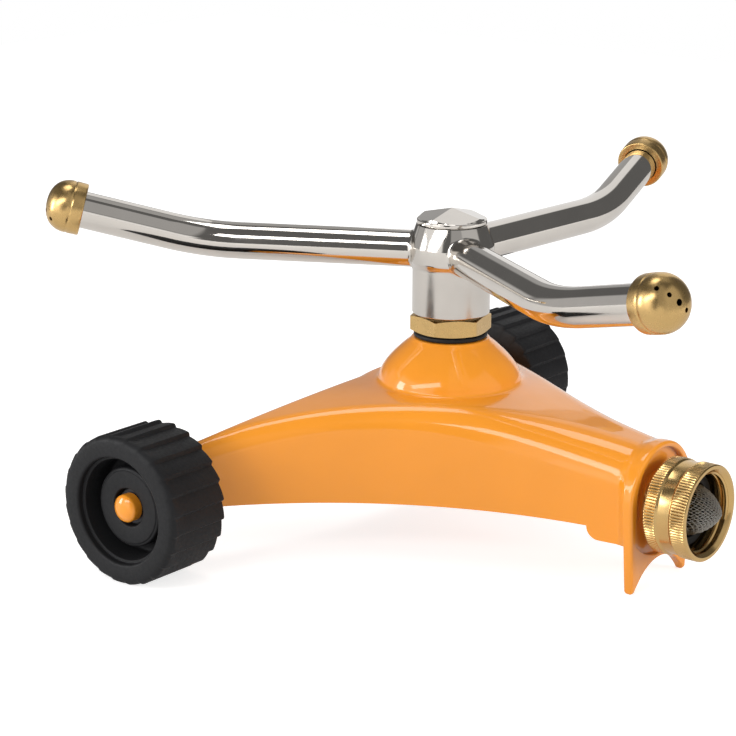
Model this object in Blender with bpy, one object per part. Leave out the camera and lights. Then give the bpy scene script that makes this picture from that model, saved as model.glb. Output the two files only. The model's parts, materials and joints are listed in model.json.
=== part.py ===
"""Three-arm rotary sprinkler on a wheeled die-cast base.

+X points to the hose inlet, +Y along the wheel axles, +Z up, ground at zero.
Sizes below are in millimetres; the meshes are made in metres.
"""
import math

import bmesh
import bpy
from mathutils import Matrix, Vector

MM = 0.001
GAP = 0.3                       # between pieces that seat on each other
CUT_MARGIN = 5.0                # a cutter runs this far past what it cuts
SMALL_CHAMFER = 0.5             # on turned ends

# Wheels and the track they run on
WHEEL_RADIUS = 25.2
WHEEL_WIDTH = 24.8
TRACK = 227.0                   # over the outer faces of the wheels
AXLE_BACK = 49.7                # axle line behind the hub axis
TREAD_LUGS = 24
TREAD_DEPTH = 1.1
TREAD_PHASE = 5.0               # degrees
LUG_RISE = 0.16                 # share of a lug that its steep side takes
WHEEL_EDGE_ROUND = 1.6
RECESS_RADIUS = 18.0
RECESS_LIP = 1.0
RECESS_LIP_DEPTH = 2.4
RECESS_DEPTH = 13.0
DISC_RADIUS = 13.4
DISC_SET_BACK = 5.2
DISC_CHAMFER = 0.8
CAP_WELL_CLEARANCE = 0.7        # round the push ring
CAP_WELL_DEPTH = 3.2
INNER_RECESS_DEPTH = 6.0
WHEEL_HUB_RADIUS = 8.0
PIN_RADIUS = 3.0
PIN_GRIP = 10.0                 # length pressed in the casting
AXLE_CAP_RADIUS = 4.7
AXLE_CAP_LENGTH = 5.0
AXLE_CAP_WALL = 1.2
PUSH_RING_WALL = 2.4
PUSH_RING_THICK = 0.8
WHEEL_WASHER_RADIUS = 6.5
WHEEL_WASHER_THICK = 0.9

# Base casting seen from above: three arms between concave arcs
SIDE_ARC_RADIUS = 169.0
ARM_TIP_HALF_WIDTH = 5.3        # each side of the axle line
NECK_HALF_WIDTH = 14.9          # at the collar
BACK_WAIST = 32.0               # back edge behind the hub axis, on the centre line
SKIRT_BOTTOM = 20.0
NECK_BOTTOM = 15.6
NECK_STEP_LENGTH = 15.0         # the neck is deeper this far behind the collar
WALL = 3.0
CREST_CENTRE = 55.0             # top of the wheel arms, falling as a parabola
CREST_TIP = 39.5
CREST_TIP_REACH = 100.0
NECK_CREST_DROP = 0.7           # the neck's top starts this far below the arms' and falls straight
NECK_BELOW_COLLAR = 1.3
EDGE_ROUND = 7.0
NECK_ROUND = 13.0
NECK_BLOCK_LENGTH = 25.0        # solid behind the collar
ARM_BLOCK_LENGTH = 17.2         # solid behind the arm's end face
AXLE_BOSS_RADIUS = 6.5
AXLE_BOSS_LENGTH = 13.0
BOSS_SET_BACK = 0.4             # behind the arm's end face

# Tower that carries the spindle
TOWER_TOP = 69.4
TOWER_TOP_RADIUS = 13.6
TOWER_BASE_RADIUS = 24.8
TOWER_FILLET = 2.4
TOWER_BULGE = 0.39              # share of its height at which the dome's curve turns
COLUMN_RADIUS = 13.0
COLUMN_BELOW_INLET = 10.5
COLUMN_BELOW_TOWER_TOP = 10.0   # it merges with the dome there
STEM_WELL_BELOW_INLET = 4.5

# Collar and feet at the inlet
INLET_HEIGHT = 27.5
COLLAR_BACK_X = 83.0
COLLAR_THICK = 3.3
COLLAR_ARCH_RADIUS = 18.7
COLLAR_ARCH_RISE = 1.8          # centre of the arch above the inlet
COLLAR_EDGE_ROUND = 0.8
COLLAR_OVERLAP = 1.0            # the neck runs this far into the collar
FOOT_SPREAD = 16.5              # half width over the feet at the ground
FOOT_REST_WIDTH = 1.4
FOOT_ARCH_TOP = 8.8
POCKET_SIDE_RIM = 3.7
POCKET_TOP_RIM = 2.0
POCKET_BOTTOM_RIM = 1.5
POCKET_SAG = 6.3                # lower corners above the pocket's lowest point
POCKET_DEPTH = 2.0
INLET_TUBE_RADIUS = 11.6
INLET_TUBE_OVERLAP = 8.0        # the passage's wall runs this far into the column
INLET_RIM_STEP = 0.4            # the passage's rim in the pocket is this much slimmer
INLET_RIM_SET_BACK = 0.8        # behind the collar's face
CHANNEL_RADIUS = 6.0

# Hose swivel
SWIVEL_STANDOFF = 2.3           # collar face to the back of the coupling
COUPLING_RADIUS = 16.0
COUPLING_BAND_STEP = 0.6
KNURL_BACK_LENGTH = 4.5
SMOOTH_LENGTH = 5.3
KNURL_FRONT_LENGTH = 5.3
COUPLING_LIP_LENGTH = 0.4
COUPLING_WALL = 2.6
COUPLING_MOUTH_CHAMFER = 1.2
COUPLING_BACK_WALL = 2.4
TAILPIECE_RADIUS = 9.0
TAILPIECE_BORE = 6.0
TAILPIECE_THREAD = 15.0
FLANGE_CLEARANCE = 1.4          # round the tailpiece's flange and the filter's rim
TAILPIECE_FLANGE = 1.8
HOSE_WASHER_THICK = 3.2
HOSE_WASHER_CLEARANCE = 0.5     # round the washer
HOSE_WASHER_SLACK = 0.4         # between the washer and the filter
FILTER_RING_THICK = 0.7
FILTER_RADIUS = 9.0
FILTER_LENGTH = 14.6
FILTER_LEAN = 0.4               # the soft cone points a little upwards
FILTER_WALL = 0.7

# Spindle and bearing
TOWER_WASHER_RADIUS = 12.7
TOWER_WASHER_THICK = 1.4
HEX_FLATS = 24.4
HEX_HEIGHT = 6.0
HEX_TURN = -15.5                # degrees, where one corner points
HEX_CHAMFER = 0.5
STEM_RADIUS = 8.0
STEM_DEPTH = 33.0
SPINDLE_BORE = 5.0
JOURNAL_RADIUS = 8.0
THRUST_WASHER_LIP = 1.5         # hub's wall round the washer
THRUST_WASHER_THICK = 1.0
BUSH_WALL = 1.8
BUSH_LENGTH = 6.0
SEAL_SECTION = 1.6
SHOULDER_THICK = 2.0
TOP_WASHER_THICK = 0.8
TOP_WASHER_CLEARANCE = 0.5      # to the chamber's wall
SPINDLE_NUT_LAND = 1.6          # nut's corners beyond the journal
SPINDLE_NUT_HEIGHT = 4.0
NUT_THREAD_STEP = 1.3           # the nut's thread is this much slimmer than the journal
JOURNAL_STICK_OUT = 0.6

# Rotor hub
HUB_RUNNING_GAP = 0.5
HUB_RADIUS = 13.3
BELT_STEP = 1.3                 # the belt stands proud of the hub's lower part
BELT_BELOW_ARMS = 3.2
BELT_ABOVE_ARMS = 2.1
CONE_HEIGHT = 7.3
CONE_WALL = 1.8
CHAMBER_CLEARANCE = 0.6         # round the spindle nut
CAP_RIM_HEIGHT = 1.7
ROOF_SET_IN = 0.7
ROOF_HEIGHT = 3.6
ROOF_TURN = 1.5                 # degrees, where one ridge of the roof points
CAP_PLUG_LENGTH = 3.0

# Arms and nozzle caps
ARM_TURNS = {"c": -32.1, "b": 87.3, "a": 207.3}    # degrees, where each arm points
ARM_ROLLS = {"c": -4.0, "b": 0.0, "a": 0.0}        # degrees, how the arm is turned in its socket
ARM_RISE = 30.0                 # centre of the arms above the tower
TUBE_RADIUS = 6.35
TUBE_WALL = 0.9
TUBE_SET_BACK = 0.6             # inner end of the tube, from the hub's chamber
BEND_REACH = 87.0               # where the two straights would meet
BEND_RADIUS = 71.0
NOZZLE_REACH = 126.9            # back rim of the nozzle cap, from the hub axis
NOZZLE_SWEEP = 10.7
NOZZLE_RISE = 10.7
NOZZLE_OVER_TUBE = 2.75
NOZZLE_SLEEVE = 4.7
NOZZLE_LENGTH = 12.9
NOZZLE_WALL = 1.7
DOME_FULLNESS = 0.88            # below 1 the dome is fuller than an ellipse
NOZZLE_OVERLAP = 6.7            # how far the tube reaches into the cap
DRILL_SET_BACK = 3.0            # where the drills cross, behind the end of the tube
HOLE_RADIUS = 0.75
MIDDLE_HOLE_RADIUS = 1.05
HOLE_STEP = 25.0                # degrees between holes across the dome
HOLE_ROW_TURN = -38.0           # degrees, row of holes from the horizontal

# Places that follow from the sizes above
AXLE_X = -AXLE_BACK
WHEEL_OUTER_Y = TRACK / 2
WHEEL_INNER_Y = WHEEL_OUTER_Y - WHEEL_WIDTH
ARM_TIP_Y = WHEEL_INNER_Y - WHEEL_WASHER_THICK - 2 * GAP
CAP_WELL_RADIUS = PIN_RADIUS + GAP + PUSH_RING_WALL + CAP_WELL_CLEARANCE
NECK_CREST_START = CREST_CENTRE - NECK_CREST_DROP
COLLAR_FRONT_X = COLLAR_BACK_X + COLLAR_THICK
COLLAR_ARCH_HEIGHT = INLET_HEIGHT + COLLAR_ARCH_RISE
COLLAR_TOP = COLLAR_ARCH_HEIGHT + COLLAR_ARCH_RADIUS
NECK_CREST_END = COLLAR_TOP - NECK_BELOW_COLLAR
NECK_STEP_X = COLLAR_BACK_X - NECK_STEP_LENGTH
CAVITY_NECK_X = COLLAR_BACK_X - NECK_BLOCK_LENGTH
CAVITY_ARM_Y = ARM_TIP_Y - ARM_BLOCK_LENGTH
POCKET_HALF_WIDTH = COLLAR_ARCH_RADIUS - POCKET_SIDE_RIM
POCKET_TOP = COLLAR_TOP - POCKET_TOP_RIM
POCKET_BOTTOM = FOOT_ARCH_TOP + POCKET_BOTTOM_RIM
COLUMN_BOTTOM = INLET_HEIGHT - COLUMN_BELOW_INLET
STEM_WELL_BOTTOM = INLET_HEIGHT - STEM_WELL_BELOW_INLET
COUPLING_BACK_X = COLLAR_FRONT_X + SWIVEL_STANDOFF
COUPLING_LENGTH = KNURL_BACK_LENGTH + SMOOTH_LENGTH + KNURL_FRONT_LENGTH + COUPLING_LIP_LENGTH
COUPLING_BORE_RADIUS = COUPLING_RADIUS - COUPLING_WALL
TAILPIECE_FLANGE_RADIUS = COUPLING_BORE_RADIUS - FLANGE_CLEARANCE
HOSE_WASHER_RADIUS = COUPLING_BORE_RADIUS - HOSE_WASHER_CLEARANCE
HOSE_WASHER_BORE = FILTER_RADIUS + HOSE_WASHER_SLACK
FILTER_RING_RADIUS = COUPLING_BORE_RADIUS - FLANGE_CLEARANCE
FILTER_RING_BORE = FILTER_RADIUS + GAP
WASHER_BOTTOM = TOWER_TOP + GAP
HEX_BOTTOM = WASHER_BOTTOM + TOWER_WASHER_THICK + GAP
HEX_TOP = HEX_BOTTOM + HEX_HEIGHT
HUB_BOTTOM = HEX_TOP + HUB_RUNNING_GAP
THRUST_BOTTOM = HEX_TOP + GAP
BUSH_BOTTOM = THRUST_BOTTOM + THRUST_WASHER_THICK + 2 * GAP
BUSH_RADIUS = JOURNAL_RADIUS + GAP + BUSH_WALL
SEAL_BOTTOM = BUSH_BOTTOM + BUSH_LENGTH + GAP
SHOULDER_BOTTOM = SEAL_BOTTOM + SEAL_SECTION + GAP
SHOULDER_TOP = SHOULDER_BOTTOM + SHOULDER_THICK
TOP_WASHER_BOTTOM = SHOULDER_TOP + GAP
NUT_BOTTOM = TOP_WASHER_BOTTOM + TOP_WASHER_THICK + GAP
NUT_TOP = NUT_BOTTOM + SPINDLE_NUT_HEIGHT
JOURNAL_TOP = NUT_TOP + JOURNAL_STICK_OUT
NUT_THREAD_RADIUS = JOURNAL_RADIUS - NUT_THREAD_STEP
SPINDLE_NUT_RADIUS = JOURNAL_RADIUS + SPINDLE_NUT_LAND
CHAMBER_RADIUS = SPINDLE_NUT_RADIUS + CHAMBER_CLEARANCE
TOP_WASHER_RADIUS = CHAMBER_RADIUS - TOP_WASHER_CLEARANCE
THRUST_WASHER_RADIUS = HUB_RADIUS - THRUST_WASHER_LIP - GAP
BELT_RADIUS = HUB_RADIUS + BELT_STEP
ARM_HEIGHT = TOWER_TOP + ARM_RISE
BELT_BOTTOM = ARM_HEIGHT - BELT_BELOW_ARMS
BELT_TOP = ARM_HEIGHT + BELT_ABOVE_ARMS
CONE_TOP = BELT_TOP + CONE_HEIGHT
CONE_TOP_RADIUS = CHAMBER_RADIUS + CONE_WALL
CAP_RIM_TOP = CONE_TOP + CAP_RIM_HEIGHT
ROOF_RADIUS = CONE_TOP_RADIUS - ROOF_SET_IN
ROOF_APEX = CAP_RIM_TOP + ROOF_HEIGHT
TUBE_START = CHAMBER_RADIUS + TUBE_SET_BACK
NOZZLE_RADIUS = TUBE_RADIUS + NOZZLE_OVER_TUBE


def clear_scene():
    for item in list(bpy.data.objects):
        bpy.data.objects.remove(item, do_unlink=True)


def make_material(name, colour, roughness, metallic):
    """Principled material; colour is linear RGB."""
    material = bpy.data.materials.new(name)
    material.use_nodes = True
    shader = material.node_tree.nodes["Principled BSDF"]
    shader.inputs["Base Color"].default_value = (*colour, 1.0)
    shader.inputs["Roughness"].default_value = roughness
    shader.inputs["Metallic"].default_value = metallic
    material.diffuse_color = (*colour, 1.0)
    return material


def make_empty(name, place, parent=None):
    empty = bpy.data.objects.new(name, None)
    bpy.context.collection.objects.link(empty)
    empty.location = Vector(place) * MM
    empty.parent = parent
    return empty


def make_object(name, mesh_data, material=None, parent=None, place=(0, 0, 0), turn=(0, 0, 0)):
    """Object from a bmesh in millimetres; place in millimetres, turn in degrees."""
    bmesh.ops.recalc_face_normals(mesh_data, faces=mesh_data.faces)
    bmesh.ops.scale(mesh_data, vec=(MM, MM, MM), verts=mesh_data.verts)
    mesh = bpy.data.meshes.new(name)
    mesh_data.to_mesh(mesh)
    mesh_data.free()
    mesh.shade_smooth()
    mesh.set_sharp_from_angle(angle=math.radians(32))
    piece = bpy.data.objects.new(name, mesh)
    bpy.context.collection.objects.link(piece)
    if material:
        mesh.materials.append(material)
    piece.parent = parent
    piece.location = Vector(place) * MM
    piece.rotation_euler = [math.radians(angle) for angle in turn]
    return piece


def hide_helper(piece):
    piece.hide_render = True
    piece.display_type = 'WIRE'


def combine(piece, helper, operation):
    """Live Boolean of a hidden helper object with a piece."""
    modifier = piece.modifiers.new(helper.name, 'BOOLEAN')
    modifier.operation = operation
    modifier.solver = 'EXACT'
    modifier.object = helper
    hide_helper(helper)


def rings_to_mesh(rings, closed_path=False):
    """Quads between rings of points. A ring of one point closes an end."""
    mesh_data = bmesh.new()
    levels = [[mesh_data.verts.new(point) for point in ring] for ring in rings]
    pairs = list(zip(levels, levels[1:]))
    if closed_path:
        pairs.append((levels[-1], levels[0]))
    for low, high in pairs:
        count = max(len(low), len(high))
        for i in range(count):
            j = (i + 1) % count
            corners = [low[i % len(low)], low[j % len(low)], high[j % len(high)], high[i % len(high)]]
            unique = list(dict.fromkeys(corners))
            mesh_data.faces.new(unique)
    if not closed_path:
        for end in (levels[0], levels[-1]):
            if len(end) > 1:
                mesh_data.faces.new(end)
    return mesh_data


def turned_mesh(profile, segments, open_bore=False):
    """Solid of revolution about Z from (radius, height) points, listed once round."""
    rings = []
    for radius, height in profile:
        if radius < 1e-6:
            rings.append([(0.0, 0.0, height)])
        else:
            rings.append([(radius * math.cos(2 * math.pi * k / segments),
                           radius * math.sin(2 * math.pi * k / segments), height)
                          for k in range(segments)])
    return rings_to_mesh(rings, closed_path=open_bore)


def ring_profile(inner, outer, bottom, top):
    return [(inner, bottom), (outer, bottom), (outer, top), (inner, top)]


def arc_points(centre, radius, start, end, count):
    """Points on an arc, angles in degrees, both ends included."""
    return [(centre[0] + radius * math.cos(math.radians(start + (end - start) * k / (count - 1))),
             centre[1] + radius * math.sin(math.radians(start + (end - start) * k / (count - 1))))
            for k in range(count)]


def smooth_step(value, low, high):
    share = min(max((value - low) / (high - low), 0.0), 1.0)
    return share * share * (3 - 2 * share)


def bezier(start, control, end, count):
    """Points of a quadratic curve, both ends included."""
    points = []
    for k in range(count):
        t = k / (count - 1)
        weights = ((1 - t) ** 2, 2 * t * (1 - t), t * t)
        points.append(tuple(sum(w * p[axis] for w, p in zip(weights, (start, control, end)))
                            for axis in range(len(start))))
    return points


class BaseOutline:
    """Plan of the casting, drawn in by an inset from its three concave sides."""

    def __init__(self, inset=0.0, neck_x=COLLAR_BACK_X, tip_y=ARM_TIP_Y, fineness=1.0):
        self.side_radius = SIDE_ARC_RADIUS + inset
        self.neck_x = neck_x
        self.tip_y = tip_y
        tip = Vector((AXLE_X + ARM_TIP_HALF_WIDTH, ARM_TIP_Y))
        neck = Vector((COLLAR_BACK_X, NECK_HALF_WIDTH))
        half_chord = (neck - tip) / 2
        away = Vector((-half_chord.y, half_chord.x)).normalized()
        self.centre = (tip + neck) / 2 + away * math.sqrt(SIDE_ARC_RADIUS ** 2 - half_chord.length_squared)
        sag = -BACK_WAIST - (AXLE_X - ARM_TIP_HALF_WIDTH)
        back_radius = (ARM_TIP_Y ** 2 + sag ** 2) / (2 * sag)
        self.back_centre_x = -BACK_WAIST - back_radius
        self.back_radius = back_radius + inset
        self.points = self.make_points(fineness)

    def make_points(self, fineness):
        side_count = max(6, round(20 * fineness))
        back_count = max(6, round(18 * fineness))
        start = math.pi - math.asin((self.centre.y - self.tip_y) / self.side_radius)
        end = math.acos((self.neck_x - self.centre.x) / self.side_radius)
        near = arc_points((self.centre.x, -self.centre.y), self.side_radius,
                          math.degrees(start), math.degrees(end), side_count)
        far = [(x, -y) for x, y in reversed(near)]
        swing = math.degrees(math.asin(self.tip_y / self.back_radius))
        back = arc_points((self.back_centre_x, 0.0), self.back_radius, swing, -swing, back_count)
        neck = self.between(near[-1], far[0], 3)
        far_tip = self.between(far[-1], back[0], 1)
        near_tip = self.between(back[-1], near[0], 1)
        return near + neck + far + far_tip + back + near_tip

    @staticmethod
    def between(start, end, count):
        return [(start[0] + (end[0] - start[0]) * k / (count + 1),
                 start[1] + (end[1] - start[1]) * k / (count + 1)) for k in range(1, count + 1)]

    def depth(self, x, y):
        """Distance inside the nearest of the three concave sides."""
        side = math.hypot(x - self.centre.x, abs(y) - self.centre.y) - self.side_radius
        back = math.hypot(x - self.back_centre_x, y) - self.back_radius
        return max(min(side, back), 0.0)


def crest_height(x, y):
    """Top of the casting before its edges are rounded."""
    reach = math.hypot(x, y)
    arm = CREST_CENTRE - (CREST_CENTRE - CREST_TIP) * (reach / CREST_TIP_REACH) ** 2
    slope = (NECK_CREST_START - NECK_CREST_END) / (COLLAR_BACK_X - TOWER_BASE_RADIUS)
    neck = NECK_CREST_START - slope * (reach - TOWER_BASE_RADIUS)
    towards_neck = smooth_step(x / max(reach, 1e-6), 0.2, 0.9)
    return arm + (neck - arm) * towards_neck


def edge_round_at(x):
    return EDGE_ROUND + (NECK_ROUND - EDGE_ROUND) * smooth_step(x, 0.0, COLLAR_BACK_X - NECK_STEP_LENGTH)


def ray_share_at_depth(outline, end, depth, inner_share):
    """How far along the ray from the hub axis the depth inside the edge is reached."""
    low, high = inner_share, 1.0
    for _ in range(40):
        middle = (low + high) / 2
        if outline.depth(end[0] * middle, end[1] * middle) > depth:
            low = middle
        else:
            high = middle
    return (low + high) / 2


def crowned_body(outline, bottom, drop, corner_steps, tower):
    """Closed body under the crest: rays run from the hub axis to the outline."""
    bulge_height = CREST_CENTRE + TOWER_BULGE * (TOWER_TOP - CREST_CENTRE)
    tower_profile = bezier((TOWER_TOP_RADIUS, TOWER_TOP - 0.5), (TOWER_BASE_RADIUS - 1.1, bulge_height),
                           (TOWER_BASE_RADIUS - 0.2, CREST_CENTRE + 0.4), 5)
    fillet_end = TOWER_BASE_RADIUS + TOWER_FILLET
    columns = []
    for x, y in outline.points:
        reach = math.hypot(x, y)
        inner_share = (fillet_end + 0.4) / reach
        room = outline.depth(x * inner_share, y * inner_share)
        rounding = max(min(edge_round_at(x) - drop, 0.9 * room), 0.3)
        column = []
        if tower:
            column += [(r * x / reach, r * y / reach, z) for r, z in
                       [(TOWER_TOP_RADIUS - 0.5, TOWER_TOP)] + tower_profile]
            foot = fillet_end / reach
            corner = TOWER_BASE_RADIUS / reach
            column += [(r * x / reach, r * y / reach, z) for r, z in
                       bezier(tower_profile[-1],
                              (TOWER_BASE_RADIUS - 0.1, crest_height(x * corner, y * corner)),
                              (fillet_end, crest_height(x * foot, y * foot)), 3)[1:]]
        flat_share = ray_share_at_depth(outline, (x, y), rounding, inner_share)
        shares = [inner_share + (flat_share - inner_share) * k / 3 for k in range(1 if tower else 0, 3)]
        column += [(x * s, y * s, crest_height(x * s, y * s) - drop) for s in shares]
        for k in range(corner_steps + 1):
            lean = math.radians(90.0 * k / corner_steps)
            depth = rounding * (1 - math.sin(lean))
            share = ray_share_at_depth(outline, (x, y), depth, inner_share) if k < corner_steps else 1.0
            place = (x * share, y * share)
            inside = outline.depth(*place)
            fall = rounding - math.sqrt(max(rounding ** 2 - max(rounding - inside, 0.0) ** 2, 0.0))
            column.append((*place, crest_height(*place) - drop - fall))
        column.append((x, y, bottom))
        columns.append(column)
    middle_height = TOWER_TOP if tower else crest_height(0.0, 0.0) - drop
    rings = [[(0.0, 0.0, middle_height)]] + [list(ring) for ring in zip(*columns)]
    rings.append([(0.0, 0.0, bottom)])
    return rings_to_mesh(rings)


def collar_outline():
    """Collar with its feet, as (y, z) points."""
    arch_centre = (0.0, COLLAR_ARCH_HEIGHT)
    over = arc_points(arch_centre, COLLAR_ARCH_RADIUS, 0.0, 180.0, 25)
    arch_half_width = FOOT_SPREAD - FOOT_REST_WIDTH
    arch_radius = (arch_half_width ** 2 + FOOT_ARCH_TOP ** 2) / (2 * FOOT_ARCH_TOP)
    arch_centre_z = FOOT_ARCH_TOP - arch_radius
    swing = math.degrees(math.asin(-arch_centre_z / arch_radius))
    under = arc_points((0.0, arch_centre_z), arch_radius, 180.0 - swing, swing, 15)
    return over + [(-FOOT_SPREAD, 0.0)] + under + [(FOOT_SPREAD, 0.0)]


def make_collar():
    """Shield-shaped plate; the outline's first edge runs in y, its extrusion in x."""
    outline = collar_outline()
    mesh_data = rings_to_mesh([[(COLLAR_BACK_X, y, z) for y, z in outline],
                               [(COLLAR_FRONT_X, y, z) for y, z in outline]])
    front_edges = [edge for edge in mesh_data.edges
                   if all(abs(v.co.x - COLLAR_FRONT_X) < 1e-6 for v in edge.verts)]
    bmesh.ops.bevel(mesh_data, geom=front_edges, offset=COLLAR_EDGE_ROUND, segments=2,
                    profile=0.5, affect='EDGES', clamp_overlap=True)
    return make_object("collar_helper", mesh_data)


def rod_mesh(radius, length, segments):
    """Cylinder turned by half a facet, so that no corner lies on the model's centre plane."""
    mesh_data = turned_mesh([(0, 0), (radius, 0), (radius, length), (0, length)], segments)
    half_facet = Matrix.Rotation(math.pi / segments, 3, 'Z')
    bmesh.ops.rotate(mesh_data, cent=(0, 0, 0), matrix=half_facet, verts=mesh_data.verts)
    return mesh_data


def along_x(name, radius, start, end, segments, height=INLET_HEIGHT):
    return make_object(name, rod_mesh(radius, end - start, segments), place=(start, 0, height),
                       turn=(0, 90, 0))


def along_y(name, radius, start, end, segments, x=AXLE_X, height=WHEEL_RADIUS):
    return make_object(name, rod_mesh(radius, end - start, segments), place=(x, start, height),
                       turn=(-90, 0, 0))


def along_z(name, radius, start, end, segments):
    return make_object(name, rod_mesh(radius, end - start, segments), place=(0, 0, start))


def make_skirt_cutter():
    """Takes the skirt up to its bottom edge behind the deeper neck."""
    step = SKIRT_BOTTOM - NECK_BOTTOM
    rounding = arc_points((NECK_STEP_X + step, SKIRT_BOTTOM), step, 180.0, 270.0, 6)
    rear = AXLE_X - ARM_TIP_HALF_WIDTH - CUT_MARGIN
    outline = [(rear, 0.0), (NECK_STEP_X + step, 0.0)] + rounding[::-1] + [(rear, SKIRT_BOTTOM)]
    half_width = ARM_TIP_Y + CUT_MARGIN
    mesh_data = rings_to_mesh([[(x, -half_width, z) for x, z in outline],
                               [(x, half_width, z) for x, z in outline]])
    return make_object("skirt_cutter", mesh_data)


def make_pocket_cutter():
    """Arched recess in the collar behind the coupling."""
    top = arc_points((0.0, POCKET_TOP - POCKET_HALF_WIDTH), POCKET_HALF_WIDTH, 0.0, 180.0, 17)
    radius = (POCKET_HALF_WIDTH ** 2 + POCKET_SAG ** 2) / (2 * POCKET_SAG)
    swing = math.degrees(math.asin(POCKET_HALF_WIDTH / radius))
    bottom = arc_points((0.0, POCKET_BOTTOM + radius), radius, 270.0 - swing, 270.0 + swing, 9)
    outline = top + bottom
    mesh_data = rings_to_mesh([[(COLLAR_FRONT_X - POCKET_DEPTH, y, z) for y, z in outline],
                               [(COLLAR_FRONT_X + CUT_MARGIN, y, z) for y, z in outline]])
    return make_object("pocket_cutter", mesh_data)


def make_base_casting(parent, material):
    """Die-cast base: shell, tower, column, inlet passage, axle bosses, collar and feet."""
    outline = BaseOutline(neck_x=COLLAR_BACK_X + COLLAR_OVERLAP)
    body = make_object("base_casting", crowned_body(outline, NECK_BOTTOM, 0.0, 3, True), material)
    body.parent = parent
    cavity_plan = BaseOutline(WALL, CAVITY_NECK_X, CAVITY_ARM_Y, 0.7)
    cavity = make_object("cavity_cutter", crowned_body(cavity_plan, NECK_BOTTOM - CUT_MARGIN, WALL, 2, False))
    helpers = [(cavity, 'DIFFERENCE'), (make_skirt_cutter(), 'DIFFERENCE'),
               (make_collar(), 'UNION'),
               (along_z("column_helper", COLUMN_RADIUS, COLUMN_BOTTOM,
                        TOWER_TOP - COLUMN_BELOW_TOWER_TOP, 28), 'UNION'),
               (along_x("inlet_tube_helper", INLET_TUBE_RADIUS, COLUMN_RADIUS - INLET_TUBE_OVERLAP,
                        COLLAR_BACK_X, 28), 'UNION')]
    for side in (-1, 1):
        ends = sorted((side * (ARM_TIP_Y - AXLE_BOSS_LENGTH), side * (ARM_TIP_Y - BOSS_SET_BACK)))
        tag = "near" if side < 0 else "far"
        helpers.append((along_y("boss_helper_" + tag, AXLE_BOSS_RADIUS, *ends, 20), 'UNION'))
    pocket = make_pocket_cutter()
    helpers += [(pocket, 'DIFFERENCE'),
                (along_x("inlet_rim_helper", INLET_TUBE_RADIUS - INLET_RIM_STEP,
                         COLLAR_BACK_X - COLLAR_OVERLAP, COLLAR_FRONT_X - INLET_RIM_SET_BACK, 28),
                 'UNION')]
    thread_start = COUPLING_BACK_X + COUPLING_BACK_WALL + GAP - TAILPIECE_THREAD - 2 * GAP
    helpers += [(along_x("channel_cutter", CHANNEL_RADIUS, -CHANNEL_RADIUS, COLLAR_FRONT_X + CUT_MARGIN, 20),
                 'DIFFERENCE'),
                (along_x("thread_cutter", TAILPIECE_RADIUS + GAP, thread_start,
                         COLLAR_FRONT_X + CUT_MARGIN, 24), 'DIFFERENCE'),
                (along_z("stem_cutter", STEM_RADIUS + GAP, STEM_WELL_BOTTOM, TOWER_TOP + CUT_MARGIN, 24),
                 'DIFFERENCE')]
    for side in (-1, 1):
        ends = sorted((side * (ARM_TIP_Y - PIN_GRIP), side * (ARM_TIP_Y + CUT_MARGIN)))
        tag = "near" if side < 0 else "far"
        helpers.append((along_y("pin_cutter_" + tag, PIN_RADIUS + GAP, *ends, 16), 'DIFFERENCE'))
    for helper, operation in helpers:
        helper.parent = parent
        combine(body, helper, operation)
    return body


def make_wheel(name, parent, side, material):
    """One-piece moulded wheel about its axle, outer face towards the side.

    The tread is saw-toothed: two stations a lug, a low one and a high one just after it.
    """
    half = WHEEL_WIDTH / 2
    stations = [(TREAD_PHASE + (lug + step) * 360.0 / TREAD_LUGS, WHEEL_RADIUS - depth)
                for lug in range(TREAD_LUGS) for step, depth in ((0.0, TREAD_DEPTH), (LUG_RISE, 0.0))]
    # Each station is (radius or cut back from the tread, distance outwards from the wheel's middle)
    disc = half - DISC_SET_BACK
    bore = PIN_RADIUS + GAP
    plain = [(bore, -half), (WHEEL_HUB_RADIUS, -half), (WHEEL_HUB_RADIUS, -half + INNER_RECESS_DEPTH),
             (RECESS_RADIUS, -half + INNER_RECESS_DEPTH), (RECESS_RADIUS, -half)]
    tread = [(0.7 * WHEEL_EDGE_ROUND, -half), (0.0, -half + 0.7 * WHEEL_EDGE_ROUND),
             (0.0, half - WHEEL_EDGE_ROUND), (0.3 * WHEEL_EDGE_ROUND, half - 0.3 * WHEEL_EDGE_ROUND),
             (WHEEL_EDGE_ROUND, half)]
    face = [(RECESS_RADIUS, half), (RECESS_RADIUS, half - RECESS_LIP_DEPTH),
            (RECESS_RADIUS - RECESS_LIP, half - RECESS_LIP_DEPTH),
            (RECESS_RADIUS - RECESS_LIP, half - RECESS_DEPTH), (DISC_RADIUS, half - RECESS_DEPTH),
            (DISC_RADIUS, disc - DISC_CHAMFER), (DISC_RADIUS - DISC_CHAMFER, disc),
            (CAP_WELL_RADIUS, disc), (CAP_WELL_RADIUS, disc - CAP_WELL_DEPTH),
            (bore, disc - CAP_WELL_DEPTH)]
    rings = []
    for station_list, is_tread in ((plain, False), (tread, True), (face, False)):
        for size, out in station_list:
            ring = []
            for angle, tread_radius in stations:
                radius = tread_radius - size if is_tread else size
                ring.append((radius * math.cos(math.radians(angle)), side * out,
                             radius * math.sin(math.radians(angle))))
            rings.append(ring)
    return make_object(name, rings_to_mesh(rings, closed_path=True), material, parent)


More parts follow.
